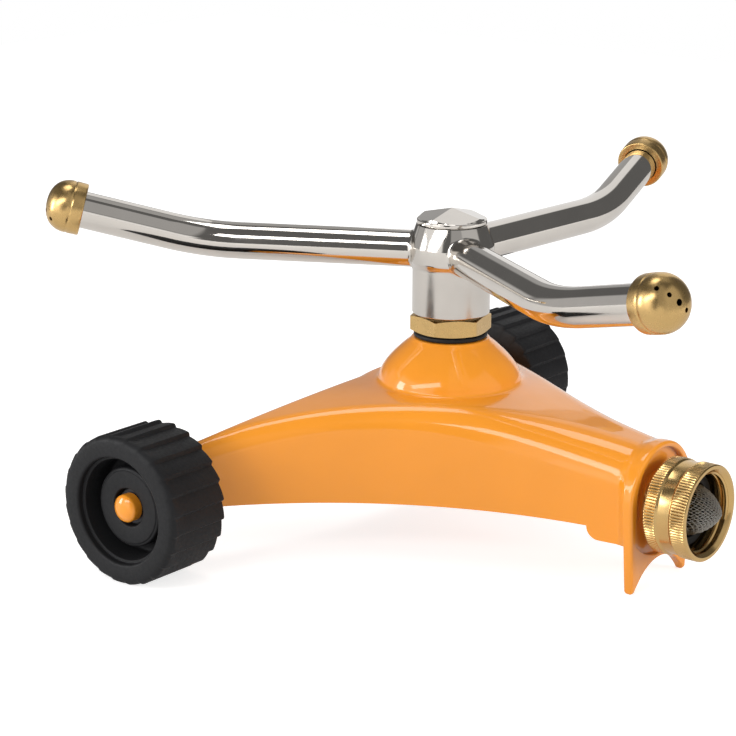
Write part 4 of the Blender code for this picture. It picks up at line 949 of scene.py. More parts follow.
def pocket_outline():
    top = arc_points((0.0, POCKET_TOP - POCKET_HALF_WIDTH), POCKET_HALF_WIDTH, 0.0, 180.0, 49)
    radius = (POCKET_HALF_WIDTH ** 2 + POCKET_SAG ** 2) / (2 * POCKET_SAG)
    swing = degrees(asin(POCKET_HALF_WIDTH / radius))
    bottom = arc_points((0.0, POCKET_BOTTOM + radius), radius, 270.0 - swing, 270.0 + swing, 25)
    corners = [(u, v, 0.0) for u, v in top] + [(bottom[0][0], bottom[0][1], 1.6 * MM)]
    corners += [(u, v, 0.0) for u, v in bottom[3:-3]] + [(bottom[-1][0], bottom[-1][1], 1.6 * MM)]
    return rounded(corners, 5)


def make_pocket_cutter(settings):
    """Arched recess behind the coupling, its front edge rounded."""
    edge = settings.pocket_round
    floor = COLLAR_FRONT_X - POCKET_DEPTH
    stations = [(floor, -0.4 * MM), (floor + 0.15 * MM, -0.1 * MM), (floor + 0.4 * MM, 0.0)]
    stations += [(COLLAR_FRONT_X - edge * (1 - sin(a)), edge * (1 - cos(a))) for a in quarter_turn(4)]
    stations.append((COLLAR_FRONT_X + 3.0 * MM, edge + 0.2 * MM))
    outline = pocket_outline()
    return loft("pocket_cutter", [[(x, y, z) for y, z in offset_outline(outline, [grow] * len(outline))]
                                  for x, grow in stations])


def make_skirt_cutter():
    """Takes the skirt up to its bottom edge behind the deeper neck."""
    step = SKIRT_BOTTOM - NECK_BOTTOM
    rounding = arc_points((NECK_STEP_X + step, SKIRT_BOTTOM), step, 270.0, 180.0, 14)
    rear = AXLE_X - 20.0 * MM
    outline = [(rear, 0.0), (NECK_STEP_X + step, 0.0)] + rounding + [(rear, SKIRT_BOTTOM)]
    half = ARM_TIP_Y + 10.0 * MM
    return loft("skirt_cutter", [[(x, y, z) for x, z in outline] for y in (-half, half)])


def both_sides(inner, outer):
    """The two stretches of Y between the distances from the centre plane."""
    return ((-outer, -inner), (inner, outer))


class SPRINKLER_OT_base_casting(bpy.types.Operator):
    """Build the painted die-cast base with its tower, collar and feet"""
    bl_idname = "sprinkler.base_casting"
    bl_label = "Base Casting"

    def execute(self, context):
        settings = context.scene.sprinkler_casting
        plan = CastingPlan(0.0, COLLAR_BACK_X + 1.0 * MM, ARM_TIP_Y, 80, 72, 21)
        shell = casting_shell(plan, NECK_BOTTOM, 0.0, settings, 22, 12, True)
        flare_neck(shell, settings)
        body = new_object("base_casting_skin", shell)
        hollow = CastingPlan(WALL, CAVITY_NECK_X, CAVITY_ARM_Y, 40, 36, 11)
        cavity = new_object("cavity_cutter", casting_shell(hollow, NECK_BOTTOM - 5.0 * MM, WALL,
                                                           settings, 8, 5, False))
        combine(body, [cavity, make_skirt_cutter()], 'DIFFERENCE')
        added = [make_collar(settings),
                 rod("column_helper", COLUMN_RADIUS, COLUMN_BOTTOM, COLUMN_TOP, 'Z'),
                 rod("inlet_tube_helper", INLET_TUBE_RADIUS, 5.0 * MM, COLLAR_BACK_X, 'X',
                     (0, 0, INLET_HEIGHT))]
        axle = (AXLE_X, 0, NEAR_AXLE.z)
        for low, high in both_sides(ARM_TIP_Y - AXLE_BOSS_LENGTH, ARM_TIP_Y - BOSS_SET_BACK):
            added.append(rod("boss_helper", AXLE_BOSS_RADIUS, low, high, 'Y', axle))
        combine(body, added, 'UNION')
        combine(body, [make_pocket_cutter(settings)], 'DIFFERENCE')
        combine(body, [rod("inlet_rim_helper", INLET_TUBE_RADIUS - 0.4 * MM, COLLAR_BACK_X - 1.0 * MM,
                           COLLAR_FRONT_X - 0.8 * MM, 'X', (0, 0, INLET_HEIGHT))], 'UNION')
        past = 5.0 * MM
        cuts = [rod("channel_cutter", CHANNEL_RADIUS, -CHANNEL_RADIUS, COLLAR_FRONT_X + past, 'X',
                    (0, 0, INLET_HEIGHT)),
                rod("thread_cutter", TAILPIECE_RADIUS + GAP, THREAD_START_X, COLLAR_FRONT_X + past, 'X',
                    (0, 0, INLET_HEIGHT)),
                rod("stem_cutter", STEM_RADIUS + GAP, STEM_WELL_BOTTOM, TOWER_TOP + past, 'Z')]
        for low, high in both_sides(ARM_TIP_Y - PIN_GRIP, ARM_TIP_Y + past):
            cuts.append(rod("pin_cutter", PIN_RADIUS + GAP, low, high, 'Y', axle))
        combine(body, cuts, 'DIFFERENCE')
        dress(body, "base", "orange_paint", "base_casting", sharp=32.0)
        return {'FINISHED'}


# Wheels

def tread_radius(settings, turn_share, radius, out):
    """Radius with the saw-toothed tread cut in; turn_share runs from 0 to 1 over one lug."""
    if turn_share < LUG_STEEP_SHARE:
        groove = 1.0 - smooth_step(turn_share, 0.0, LUG_STEEP_SHARE)
    else:
        groove = ((turn_share - LUG_STEEP_SHARE) / (1.0 - LUG_STEEP_SHARE)) ** LUG_SLOPE_CURVE
    half = settings.width / 2
    fade = 0.3 + 0.7 * smooth_step(half - out, 1.4 * MM, 3.4 * MM)
    shoulder = smooth_step(radius, settings.radius - 4.2 * MM, settings.radius - 0.4 * MM)
    return radius - settings.tread_depth * groove * fade * shoulder


def wheel_profile(settings):
    """Section of a wheel as (radius, distance outwards), once round."""
    half = settings.width / 2
    disc = half - DISC_SET_BACK
    bore = PIN_RADIUS + GAP
    radius = settings.radius
    corners = [
        (RECESS_RADIUS, half, 0.9 * MM), (21.5 * MM, half, 0.0), (23.0 * MM, half, 0.0),
        (radius, half, settings.shoulder), (radius, half - 4.8 * MM, 0.0), (radius, half - 8.0 * MM, 0.0),
        (radius, 0.0, 0.0), (radius, -half, 1.1 * MM), (RECESS_RADIUS, -half, 0.7 * MM),
        (RECESS_RADIUS, INNER_RECESS_DEPTH - half, 0.8 * MM),
        (WHEEL_HUB_RADIUS, INNER_RECESS_DEPTH - half, 0.8 * MM), (WHEEL_HUB_RADIUS, -half, 0.4 * MM),
        (bore, -half, 0.2 * MM), (bore, disc - CAP_WELL_DEPTH, 0.2 * MM),
        (CAP_WELL_RADIUS, disc - CAP_WELL_DEPTH, 0.3 * MM), (CAP_WELL_RADIUS, disc, 0.5 * MM),
        (DISC_RADIUS - 1.3 * MM, disc, 0.2 * MM), (DISC_RADIUS - 0.9 * MM, disc - 0.35 * MM, 0.2 * MM),
        (DISC_RADIUS, disc - 0.35 * MM, 0.8 * MM), (DISC_RADIUS, half - RECESS_DEPTH, 1.0 * MM),
        (RECESS_RADIUS - RECESS_LIP, half - RECESS_DEPTH, 1.0 * MM),
        (RECESS_RADIUS - RECESS_LIP, half - RECESS_LIP_DEPTH, 0.4 * MM),
        (RECESS_RADIUS, half - RECESS_LIP_DEPTH, 0.3 * MM),
    ]
    return rounded(corners, 4)


def slice_mesh(profile, shares, pitch, start, radius_at, place_at):
    """One sector of a turned body, open at both sides, ready to be repeated round its axis."""
    shape = bmesh.new()
    columns = []
    for share in shares:
        turn = start + pitch * share
        columns.append([shape.verts.new(place_at(radius_at(share, radius, along), along, turn))
                        for radius, along in profile])
    for first, second in zip(columns, columns[1:]):
        for i in range(len(profile)):
            j = (i + 1) % len(profile)
            shape.faces.new((first[i], first[j], second[j], second[i]))
    return shape


def repeat_round(piece, count, axis, material):
    """Repeats a sector round an axis and welds the sectors to one closed body."""
    sizes = {"Sectors": count, "Axis": axis, "Weld distance": 0.004 * MM, "Material": material}
    rig, given, identifiers = shape_tree("sectors_round_an_axis", sizes)
    points = rig.out('GeometryNodePoints', {0: given["Sectors"]})
    turn = rig.out('GeometryNodeInputIndex') * (2 * pi / given["Sectors"])
    euler = rig.out('ShaderNodeVectorMath', {0: given["Axis"], 'Scale': turn}, operation='SCALE')
    rotation = rig.out('FunctionNodeEulerToRotation', {0: euler})
    copies = rig.out('GeometryNodeInstanceOnPoints', {'Points': points, 'Rotation': rotation,
                                                      'Instance': given["Geometry"]})
    real = rig.out('GeometryNodeRealizeInstances', {0: copies})
    welded = rig.out('GeometryNodeMergeByDistance', {0: real, 'Distance': given["Weld distance"]})
    finish_tree(rig, welded, given["Material"])
    run_tree(piece, rig, identifiers, sizes)


def face_outwards(piece):
    shape = bmesh.new()
    shape.from_mesh(piece.data)
    bmesh.ops.recalc_face_normals(shape, faces=shape.faces)
    shape.to_mesh(piece.data)
    shape.free()


class SPRINKLER_OT_wheels(bpy.types.Operator):
    """Build the two moulded wheels with their saw-toothed treads"""
    bl_idname = "sprinkler.wheels"
    bl_label = "Wheels"

    def execute(self, context):
        settings = context.scene.sprinkler_wheels
        for tag, side, axle in AXLES:
            def place_at(radius, out, turn, side=side):
                return (radius * cos(turn), side * out, radius * sin(turn))

            def radius_at(share, radius, out):
                return tread_radius(settings, share, radius, out)

            shape = slice_mesh(wheel_profile(settings), LUG_SHARES, 2 * pi / settings.lugs, TREAD_PHASE,
                               radius_at, place_at)
            wheel = new_object("wheel_%s_skin" % tag, shape, clean=False)
            repeat_round(wheel, settings.lugs, Vector((0, 1, 0)), FINISHES["wheel_plastic"])
            face_outwards(wheel)
            dress(wheel, tag + "_wheel", "wheel_plastic", "wheel_" + tag, sharp=40.0,
                  place=Matrix.Translation(axle))
        return {'FINISHED'}


class SPRINKLER_OT_axle_caps(bpy.types.Operator):
    """Build the painted caps on the ends of the axles"""
    bl_idname = "sprinkler.axle_caps"
    bl_label = "Axle Caps"

    def execute(self, context):
        half = context.scene.sprinkler_wheels.width / 2
        bottom = half - DISC_SET_BACK - CAP_WELL_DEPTH + 2 * GAP + PUSH_RING_THICK
        top = bottom + AXLE_CAP_LENGTH
        bore = PIN_RADIUS + GAP
        dome = AXLE_CAP_LENGTH * AXLE_CAP_DOME_SHARE
        profile = [(bore, bottom), (AXLE_CAP_RADIUS - 0.2 * MM, bottom),
                   (AXLE_CAP_RADIUS, bottom + 0.2 * MM)]
        profile += [(AXLE_CAP_RADIUS * cos(lean), top - dome + dome * sin(lean))
                    for lean in quarter_turn(13)[:-1]]
        profile += [(0, top), (0, top - AXLE_CAP_WALL), (bore, top - AXLE_CAP_WALL)]
        for tag, side, axle in AXLES:
            cap = new_object("axle_cap_%s_skin" % tag, turned(profile, 48))
            place = Matrix.Translation(axle) @ Matrix.Rotation(-side * pi / 2, 4, 'X')
            dress(cap, "base", "orange_paint", "axle_cap_" + tag, place=place)
        return {'FINISHED'}


# Hose swivel

def coupling_profile():
    """Section of the swivel nut as (radius, distance from its back face)."""
    smooth = COUPLING_RADIUS - COUPLING_BAND_STEP
    first = KNURL_BACK_LENGTH
    second = first + SMOOTH_LENGTH
    third = second + KNURL_FRONT_LENGTH
    end = third + COUPLING_LIP_LENGTH
    hole = TAILPIECE_RADIUS + GAP
    radius = COUPLING_RADIUS
    return rounded([
        (hole, 0.0, 0.2 * MM), (radius, 0.0, 0.55 * MM), (radius, 0.8 * MM, 0.0),
        (radius, first - 0.6 * MM, 0.0), (radius, first - 0.2 * MM, 0.15 * MM),
        (smooth, first + 0.5 * MM, 0.4 * MM), (smooth, second - 0.5 * MM, 0.4 * MM),
        (radius, second + 0.2 * MM, 0.15 * MM), (radius, second + 0.6 * MM, 0.0),
        (radius, third - 0.4 * MM, 0.0), (radius, third, 0.15 * MM),
        (radius - 0.3 * MM, end, 0.15 * MM),
        (COUPLING_BORE_RADIUS + COUPLING_MOUTH_CHAMFER, end, 0.2 * MM),
        (COUPLING_BORE_RADIUS, end - COUPLING_MOUTH_CHAMFER, 0.3 * MM),
        (COUPLING_BORE_RADIUS, COUPLING_BACK_WALL, 0.3 * MM), (hole, COUPLING_BACK_WALL, 0.2 * MM),
    ], 3)


def hose_thread(settings, material):
    """Helical ridge inside the coupling, from the washer to the mouth."""
    sizes = {"Radius": COUPLING_BORE_RADIUS + 0.1 * MM, "Length": HOSE_THREAD_RUN,
             "Turns": HOSE_THREAD_RUN / settings.thread_pitch, "Ridge radius": settings.thread_ridge,
             "Material": material}
    rig, given, identifiers = shape_tree("hose_thread", sizes)
    spiral = rig.out('GeometryNodeCurveSpiral', {
        'Resolution': 72, 'Rotations': given["Turns"], 'Start Radius': given["Radius"],
        'End Radius': given["Radius"], 'Height': given["Length"]})
    section = rig.out('GeometryNodeCurvePrimitiveCircle', {'Resolution': 8,
                                                           'Radius': given["Ridge radius"]})
    ridge = rig.out('GeometryNodeCurveToMesh', {'Curve': spiral, 'Profile Curve': section,
                                                'Fill Caps': True})
    finish_tree(rig, ridge, given["Material"])
    thread = new_object("hose_thread", bmesh.new())
    run_tree(thread, rig, identifiers, sizes)
    thread.data.transform(Matrix.Translation((0, 0, HOSE_THREAD_START)))
    return thread


def join_mesh(piece, other):
    """Adds the other object's mesh to the piece and removes the object."""
    shape = bmesh.new()
    shape.from_mesh(piece.data)
    shape.from_mesh(other.data)
    shape.to_mesh(piece.data)
    shape.free()
    bpy.data.objects.remove(other, do_unlink=True)


class SPRINKLER_OT_hose_coupling(bpy.types.Operator):
    """Build the knurled swivel nut with its hose thread"""
    bl_idname = "sprinkler.hose_coupling"
    bl_label = "Hose Coupling"

    def execute(self, context):
        settings = context.scene.sprinkler_inlet
        second = KNURL_BACK_LENGTH + SMOOTH_LENGTH
        bands = ((0.3 * MM, KNURL_BACK_LENGTH - 0.1 * MM),
                 (second + 0.1 * MM, second + KNURL_FRONT_LENGTH - 0.1 * MM))

        def radius_at(share, radius, along):
            if radius < COUPLING_RADIUS - 0.4 * MM:
                return radius
            band = max(smooth_step(along, low, low + 0.4 * MM) * smooth_step(-along, -high, 0.4 * MM - high)
                       for low, high in bands)
            groove = smooth_step(abs(share - 0.5), 0.2, 0.5)
            return radius - settings.rib_depth * band * groove

        def place_at(radius, along, turn):
            return around(radius, turn, along)

        shape = slice_mesh(coupling_profile(), RIB_SHARES, 2 * pi / settings.ribs, 0.0, radius_at,
                           place_at)
        nut = new_object("hose_coupling_skin", shape, clean=False)
        repeat_round(nut, settings.ribs, Vector((0, 0, 1)), FINISHES["turned_brass"])
        face_outwards(nut)
        join_mesh(nut, hose_thread(settings, FINISHES["turned_brass"]))
        dress(nut, "swivel", "brass", "hose_coupling", place=IN_SWIVEL, finish="turned_brass")
        return {'FINISHED'}


class SPRINKLER_OT_inlet_parts(bpy.types.Operator):
    """Build the tailpiece, the hose washer and the filter's rim"""
    bl_idname = "sprinkler.inlet_parts"
    bl_label = "Tailpiece, Washer and Rim"

    def execute(self, context):
        flange = COUPLING_BACK_WALL + GAP
        flange_end = flange + TAILPIECE_FLANGE
        edge = 0.25 * MM
        tail = rounded([(radius, along, edge) for radius, along in (
            (TAILPIECE_BORE, flange - TAILPIECE_THREAD), (TAILPIECE_RADIUS, flange - TAILPIECE_THREAD),
            (TAILPIECE_RADIUS, flange), (TAILPIECE_FLANGE_RADIUS, flange),
            (TAILPIECE_FLANGE_RADIUS, flange_end), (TAILPIECE_BORE, flange_end))], 3)
        piece = new_object("inlet_tailpiece_skin", turned(tail, 72))
        dress(piece, "base", "brass", "inlet_tailpiece", place=IN_SWIVEL, finish="turned_brass")
        washer = flange_end + GAP
        washer_end = washer + HOSE_WASHER_THICK
        rubber_ring("hose_washer", "swivel", HOSE_WASHER_BORE, HOSE_WASHER_RADIUS, washer, washer_end,
                    0.5 * MM, 72, IN_SWIVEL)
        rim = washer_end + GAP
        rubber_ring("filter_ring", "swivel", FILTER_RING_BORE, FILTER_RING_RADIUS, rim,
                    rim + FILTER_RING_THICK, 0.3 * MM, 96, IN_SWIVEL)
        return {'FINISHED'}


def filter_wires(rig, given, parity):
    """Parallel wires across the cloth before it is turned: each follows the blunt cone."""
    radius, count = given["Radius"], given["Wires"]
    pitch = radius * 2.0 / count
    offset = (rig.out('GeometryNodeInputIndex') - (count - 1.0) / 2.0) * pitch
    points = rig.out('GeometryNodePoints', {0: count, 'Position': rig.vector(y=offset)})
    line = rig.out('GeometryNodeCurvePrimitiveLine', {'Start': (-1, 0, 0), 'End': (1, 0, 0)})
    wire = rig.out('GeometryNodeResampleCurve', {'Curve': line, 'Count': WIRE_POINTS})
    copies = rig.out('GeometryNodeInstanceOnPoints', {'Points': points, 'Instance': wire})
    real = rig.out('GeometryNodeRealizeInstances', {0: copies})
    before = rig.add('ShaderNodeSeparateXYZ', {0: rig.out('GeometryNodeInputPosition')}).outputs
    across = Value(rig, before['Y'])
    half = rig.maths('SQRT', radius * radius - across * across)
    along = Value(rig, before['X']) * (half * WIRE_END_SHARE)
    reach = rig.maths('SQRT', across * across + along * along)
    share = rig.maths('POWER', reach / radius, CONE_CURVE)
    rise = rig.maths('SQRT', 1.0 - share) * given["Length"]
    crossings = along / pitch * pi
    row = (across / pitch + parity) * pi
    wave = rig.maths('SINE', crossings + row) * given["Weave height"]
    lift = 1.0 + wave / radius
    place = rig.vector(along * lift, across * lift, rise + wave)
    return rig.out('GeometryNodeSetPosition', {'Geometry': real, 'Position': place})


class SPRINKLER_OT_filter_screen(bpy.types.Operator):
    """Build the cone of woven wire in the inlet"""
    bl_idname = "sprinkler.filter_screen"
    bl_label = "Filter Screen"

    def execute(self, context):
        settings = context.scene.sprinkler_inlet
        sizes = {"Wires": settings.wires, "Radius": FILTER_RADIUS - settings.wire_radius,
                 "Length": FILTER_LENGTH - settings.wire_radius, "Wire radius": settings.wire_radius,
                 "Weave height": settings.wire_radius * 0.7, "Material": FINISHES["mesh_steel"]}
        rig, given, identifiers = shape_tree("woven_cone", sizes)
        both = rig.add('GeometryNodeJoinGeometry')
        for turn, parity in ((0.0, 0.0), (pi / 2, 1.0)):
            rig.feed(both.inputs[0], rig.out('GeometryNodeTransform', {
                'Geometry': filter_wires(rig, given, parity), 'Rotation': (0, 0, turn)}))
        section = rig.out('GeometryNodeCurvePrimitiveCircle', {'Resolution': 5,
                                                               'Radius': given["Wire radius"]})
        wires = rig.out('GeometryNodeCurveToMesh', {'Curve': both.outputs[0], 'Profile Curve': section,
                                                    'Fill Caps': True})
        finish_tree(rig, wires, given["Material"])
        screen = new_object("filter_screen_skin", bmesh.new())
        run_tree(screen, rig, identifiers, sizes)
        screen.data.transform(Matrix.Rotation(CLOTH_TURN, 4, 'Z'))
        for vertex in screen.data.vertices:
            vertex.co.x -= FILTER_LEAN * max(vertex.co.z / FILTER_LENGTH, 0.0)
        start = COUPLING_BACK_WALL + TAILPIECE_FLANGE + 3 * GAP
        dress(screen, "swivel", "mesh_steel", "filter_screen", sharp=180.0,
              place=IN_SWIVEL @ Matrix.Translation((0, 0, start)))
        return {'FINISHED'}


# Spindle, hub and cap

class SPRINKLER_OT_spindle(bpy.types.Operator):
    """Build the brass spindle with its chamfered hexagon, and the washer under it"""
    bl_idname = "sprinkler.spindle"
    bl_label = "Spindle and Washer"

    def execute(self, context):
        settings = context.scene.sprinkler_head
        half = settings.hex_flats / 2
        corner = half / cos(pi / 6)
        outline = rounded([around(corner, HEX_TURN + pi / 3 * k, settings.hex_edge) for k in range(6)])
        hexagon = loft("spindle_skin", [[(x, y, z) for x, y in outline] for z in (HEX_BOTTOM, HEX_TOP)])
        chamfer = (corner - half + HEX_CHAMFER_INSET) * tan(HEX_CHAMFER_SLOPE)
        inner = half - HEX_CHAMFER_INSET
        outer = corner + 0.2 * MM
        bottom, top = HEX_BOTTOM - 0.01 * MM, HEX_TOP + 0.01 * MM
        dish = turned([(0, bottom), (inner, bottom), (outer, HEX_BOTTOM + chamfer),
                       (outer, HEX_TOP - chamfer), (inner, top), (0, top)], 144)
        combine(hexagon, [new_object("chamfer_helper", dish)], 'INTERSECT')
        bottom = HEX_BOTTOM - STEM_DEPTH
        bar = rounded([(0, bottom, 0), (STEM_RADIUS, bottom, 0.4 * MM), (STEM_RADIUS, HEX_BOTTOM + MM, 0),
                       (JOURNAL_RADIUS, HEX_TOP - MM, 0), (JOURNAL_RADIUS, JOURNAL_STEP, 0.2 * MM),
                       (NUT_THREAD_RADIUS, JOURNAL_STEP, 0), (NUT_THREAD_RADIUS, JOURNAL_TOP, 0.3 * MM),
                       (0, JOURNAL_TOP, 0)], 3)
        combine(hexagon, [new_object("bar_helper", turned(bar, 64))], 'UNION')
        combine(hexagon, [rod("bore_cutter", SPINDLE_BORE, bottom - MM, JOURNAL_TOP + MM, 'Z')],
                'DIFFERENCE')
        dress(hexagon, "base", "brass", "spindle", sharp=20.0)
        rubber_ring("tower_washer", "base", STEM_RADIUS + GAP, TOWER_WASHER_RADIUS, TOWER_WASHER_BOTTOM,
                    TOWER_WASHER_TOP, 0.45 * MM)
        return {'FINISHED'}


def hub_radius_at(height):
    """Outer radius of the hub's belt and cone."""
    if height <= BELT_TOP:
        return HUB_RADIUS + (BELT_RADIUS - HUB_RADIUS) * smooth_step(height, BELT_EASE_START, BELT_EASE_END)
    share = (height - BELT_TOP) / (CONE_TOP - BELT_TOP)
    return BELT_RADIUS + (HUB_TOP_RADIUS - BELT_RADIUS) * min(share, 1.0)


def braze_ring(arm_turn, settings):
    """Fillet ring between one arm and the hub, as a closed bead."""
    out = Vector((cos(arm_turn), sin(arm_turn), 0.0))
    side = Vector((-out.y, out.x, 0.0))

    def on_hub(radius, angle, lift=0.0):
        across = radius * cos(angle)
        height = ARM_HEIGHT + radius * sin(angle)
        reach = hub_radius_at(height) + lift
        forward = sqrt(max(reach ** 2 - across ** 2, 0.0))
        return out * forward + side * across + Vector((0, 0, height))

    rings = []
    steps = 72
    tube = settings.tube_radius
    for k in range(steps):
        angle = 2 * pi * k / steps
        root = on_hub(tube, angle)
        on_tube = root + out * settings.braze
        on_skin = on_hub(tube + settings.braze, angle)
        loop = bezier(tuple(on_tube), tuple(root), tuple(on_skin), 7)
        loop.append(tuple(on_hub(tube + settings.braze * 0.6, angle, -0.5 * MM)))
        loop.append(tuple(on_hub(tube - 0.3 * MM, angle, -0.5 * MM)))
        loop.append(tuple(on_hub(tube - 0.3 * MM, angle) + out * settings.braze))
        rings.append(loop)
    return rings_to_mesh(rings, closed_path=True)


class SPRINKLER_OT_hub(bpy.types.Operator):
    """Build the hub with its belt, cone and brazed arm sockets"""
    bl_idname = "sprinkler.hub"
    bl_label = "Hub"

    def execute(self, context):
        settings = context.scene.sprinkler_head
        corners = [(THRUST_BORE, HUB_BOTTOM, 0.2 * MM), (HUB_RADIUS, HUB_BOTTOM, 0.5 * MM)]
        for k in range(9):
            height = BELT_EASE_START + (BELT_EASE_END - BELT_EASE_START) * k / 8
            corners.append((hub_radius_at(height), height, 0.0))
        corners += [
            (BELT_RADIUS, BELT_TOP, 0.35 * MM), (HUB_TOP_RADIUS, CONE_TOP, 0.3 * MM),
            (CHAMBER_RADIUS, CONE_TOP, 0.2 * MM), (CHAMBER_RADIUS, SHOULDER_TOP, 0.2 * MM),
            (SHOULDER_BORE, SHOULDER_TOP, 0.1 * MM), (SHOULDER_BORE, SHOULDER_BOTTOM, 0.1 * MM),
            (BUSH_BORE, SHOULDER_BOTTOM, 0.1 * MM), (BUSH_BORE, THRUST_TOP, 0.1 * MM),
            (THRUST_BORE, THRUST_TOP, 0.1 * MM)]
        hub = new_object("rotor_hub_skin", turned(rounded(corners), 128))
        socket = settings.tube_radius + GAP
        cuts = []
        for name, turn in ARM_TURNS.items():
            out = Vector((cos(radians(turn)), sin(radians(turn)), 0.0))
            shape = turned([(0, 0), (socket, 0), (socket, SOCKET_LENGTH), (0, SOCKET_LENGTH)], 48)
            start = out * SOCKET_START + Vector((0, 0, ARM_HEIGHT))
            bmesh.ops.transform(shape, matrix=frame_along(start, out), verts=shape.verts)
            cuts.append(new_object("socket_cutter_" + name, shape))
        combine(hub, cuts, 'DIFFERENCE')
        for name, turn in ARM_TURNS.items():
            join_mesh(hub, new_object("bead_" + name, braze_ring(radians(turn), settings)))
        dress(hub, "rotor", "hub_steel", "rotor_hub", sharp=30.0)
        return {'FINISHED'}


class SPRINKLER_OT_hub_cap(bpy.types.Operator):
    """Build the cap with its rim and low four-sided roof"""
    bl_idname = "sprinkler.hub_cap"
    bl_label = "Hub Cap"

    def execute(self, context):
        segments = 120
        turns = [ROOF_TURN + 2 * pi * k / segments for k in range(segments)]
        bottom = CONE_TOP + GAP
        end = bottom - CAP_PLUG_LENGTH
        plug = CHAMBER_RADIUS - GAP
        side = rounded([(plug, bottom, 0), (CONE_TOP_RADIUS, bottom, 0.2 * MM),
                        (CONE_TOP_RADIUS - 0.05 * MM, CAP_RIM_TOP, 0.35 * MM), (plug, CAP_RIM_TOP, 0)])
        profile = [(plug - 0.3 * MM, end), (plug, end + 0.3 * MM), (plug, bottom)] + side[1:-1]
        rings = [[(0, 0, end)]]
        rings += [[around(radius, turn, height) for turn in turns] for radius, height in profile]
        for share in ROOF_SHARES:
            ring = []
            for turn in turns:
                from_facet = (turn - ROOF_TURN) % (pi / 2) - pi / 4
                fall = (ROOF_APEX - CAP_RIM_TOP) * share * cos(from_facet)
                ring.append(around(ROOF_RADIUS * share, turn, ROOF_APEX - fall))
            rings.append(ring)
        rings.append([(0, 0, ROOF_APEX)])
        cap = new_object("hub_cap_skin", rings_to_mesh(rings))
        dress(cap, "rotor", "polished_steel", "hub_cap", sharp=14.0)
        return {'FINISHED'}


# Arms and nozzle caps

class ArmPath:
    """Straight root, one bend and a straight end, in the arm's own frame with +X outwards."""

    def __init__(self, bend_radius):
        self.bend = Vector((BEND_REACH, 0, 0))
        self.end = Vector((NOZZLE_REACH, NOZZLE_SWEEP, NOZZLE_RISE))
        self.out = Vector((1, 0, 0))
        self.tip = (self.end - self.bend).normalized()
        self.normal = self.out.cross(self.tip).normalized()
        self.bend_angle = self.out.angle(self.tip)
        self.bend_radius = bend_radius

    def points(self, overlap, bend_steps):
        """Centre points with their directions, from the hub to past the cap's back rim."""
        setback = self.bend_radius * tan(self.bend_angle / 2)
        inward = self.normal.cross(self.out)
        centre = self.bend - self.out * setback + inward * self.bend_radius
        path = [(Vector((TUBE_START, 0, 0)), self.out)]
        for k in range(bend_steps + 1):
            turn = Matrix.Rotation(self.bend_angle * k / bend_steps, 3, self.normal)
            path.append((centre - turn @ inward * self.bend_radius, turn @ self.out))
        path.append((self.end + self.tip * overlap, self.tip))
        return path


def arm_frame(letter):
    roll = Matrix.Rotation(radians(ARM_ROLLS[letter]), 4, 'X')
    turn = Matrix.Rotation(radians(ARM_TURNS[letter]), 4, 'Z')
    return Matrix.Translation((0, 0, ARM_HEIGHT)) @ turn @ roll


class SPRINKLER_OT_arms(bpy.types.Operator):
    """Build the three bent arm tubes"""
    bl_idname = "sprinkler.arms"
    bl_label = "Arm Tubes"

    def execute(self, context):
        settings = context.scene.sprinkler_head
        path = ArmPath(settings.bend_radius)
        sides = 56
        stations = path.points(NOZZLE_OVERLAP, 40)
        for letter in ARM_TURNS:
            rings = []
            inner = settings.tube_radius - settings.tube_wall
            for radius, order in ((settings.tube_radius, stations), (inner, stations[::-1])):
                for centre, along in order:
                    across = path.normal.cross(along)
                    rings.append([centre + (path.normal * cos(2 * pi * k / sides)
                                            + across * sin(2 * pi * k / sides)) * radius
                                  for k in range(sides)])
            tube = new_object("arm_tube_%s_skin" % letter, rings_to_mesh(rings, closed_path=True))
            dress(tube, "rotor", "polished_steel", "arm_tube_" + letter, place=arm_frame(letter))
        return {'FINISHED'}


def nozzle_profile(settings, tube_radius):
    """Section of a nozzle cap: sleeve, slight crease and full dome over the tube's end."""
    bore = tube_radius + GAP
    floor = NOZZLE_OVERLAP + GAP
    radius = settings.radius
    sleeve = settings.sleeve
    profile = rounded([(bore, 0, 0), (bore, -1 * MM, 0), (bore, 0, 0), (radius - 0.1 * MM, 0, 0.5 * MM),
                       (radius, sleeve - 0.9 * MM, 0.3 * MM),
                       (radius - 0.22 * MM, sleeve - 0.35 * MM, 0.2 * MM),
                       (radius - 0.02 * MM, sleeve + 0.1 * MM, 0)])[2:]
    dome = settings.length - sleeve
    profile += [(radius * cos(lean) ** DOME_FULLNESS, sleeve + dome * sin(lean) ** DOME_FULLNESS)
                for lean in quarter_turn(18)[1:-1]]
    profile += [(0, settings.length), (0, settings.length - NOZZLE_WALL)]
    inner = settings.length - NOZZLE_WALL - floor
    for k in range(7, -1, -1):
        lean = radians(72.0) * k / 7
        profile.append(((bore - 0.6 * MM) * cos(lean), floor + inner * sin(lean)))
    profile.append((bore, floor))
    return profile


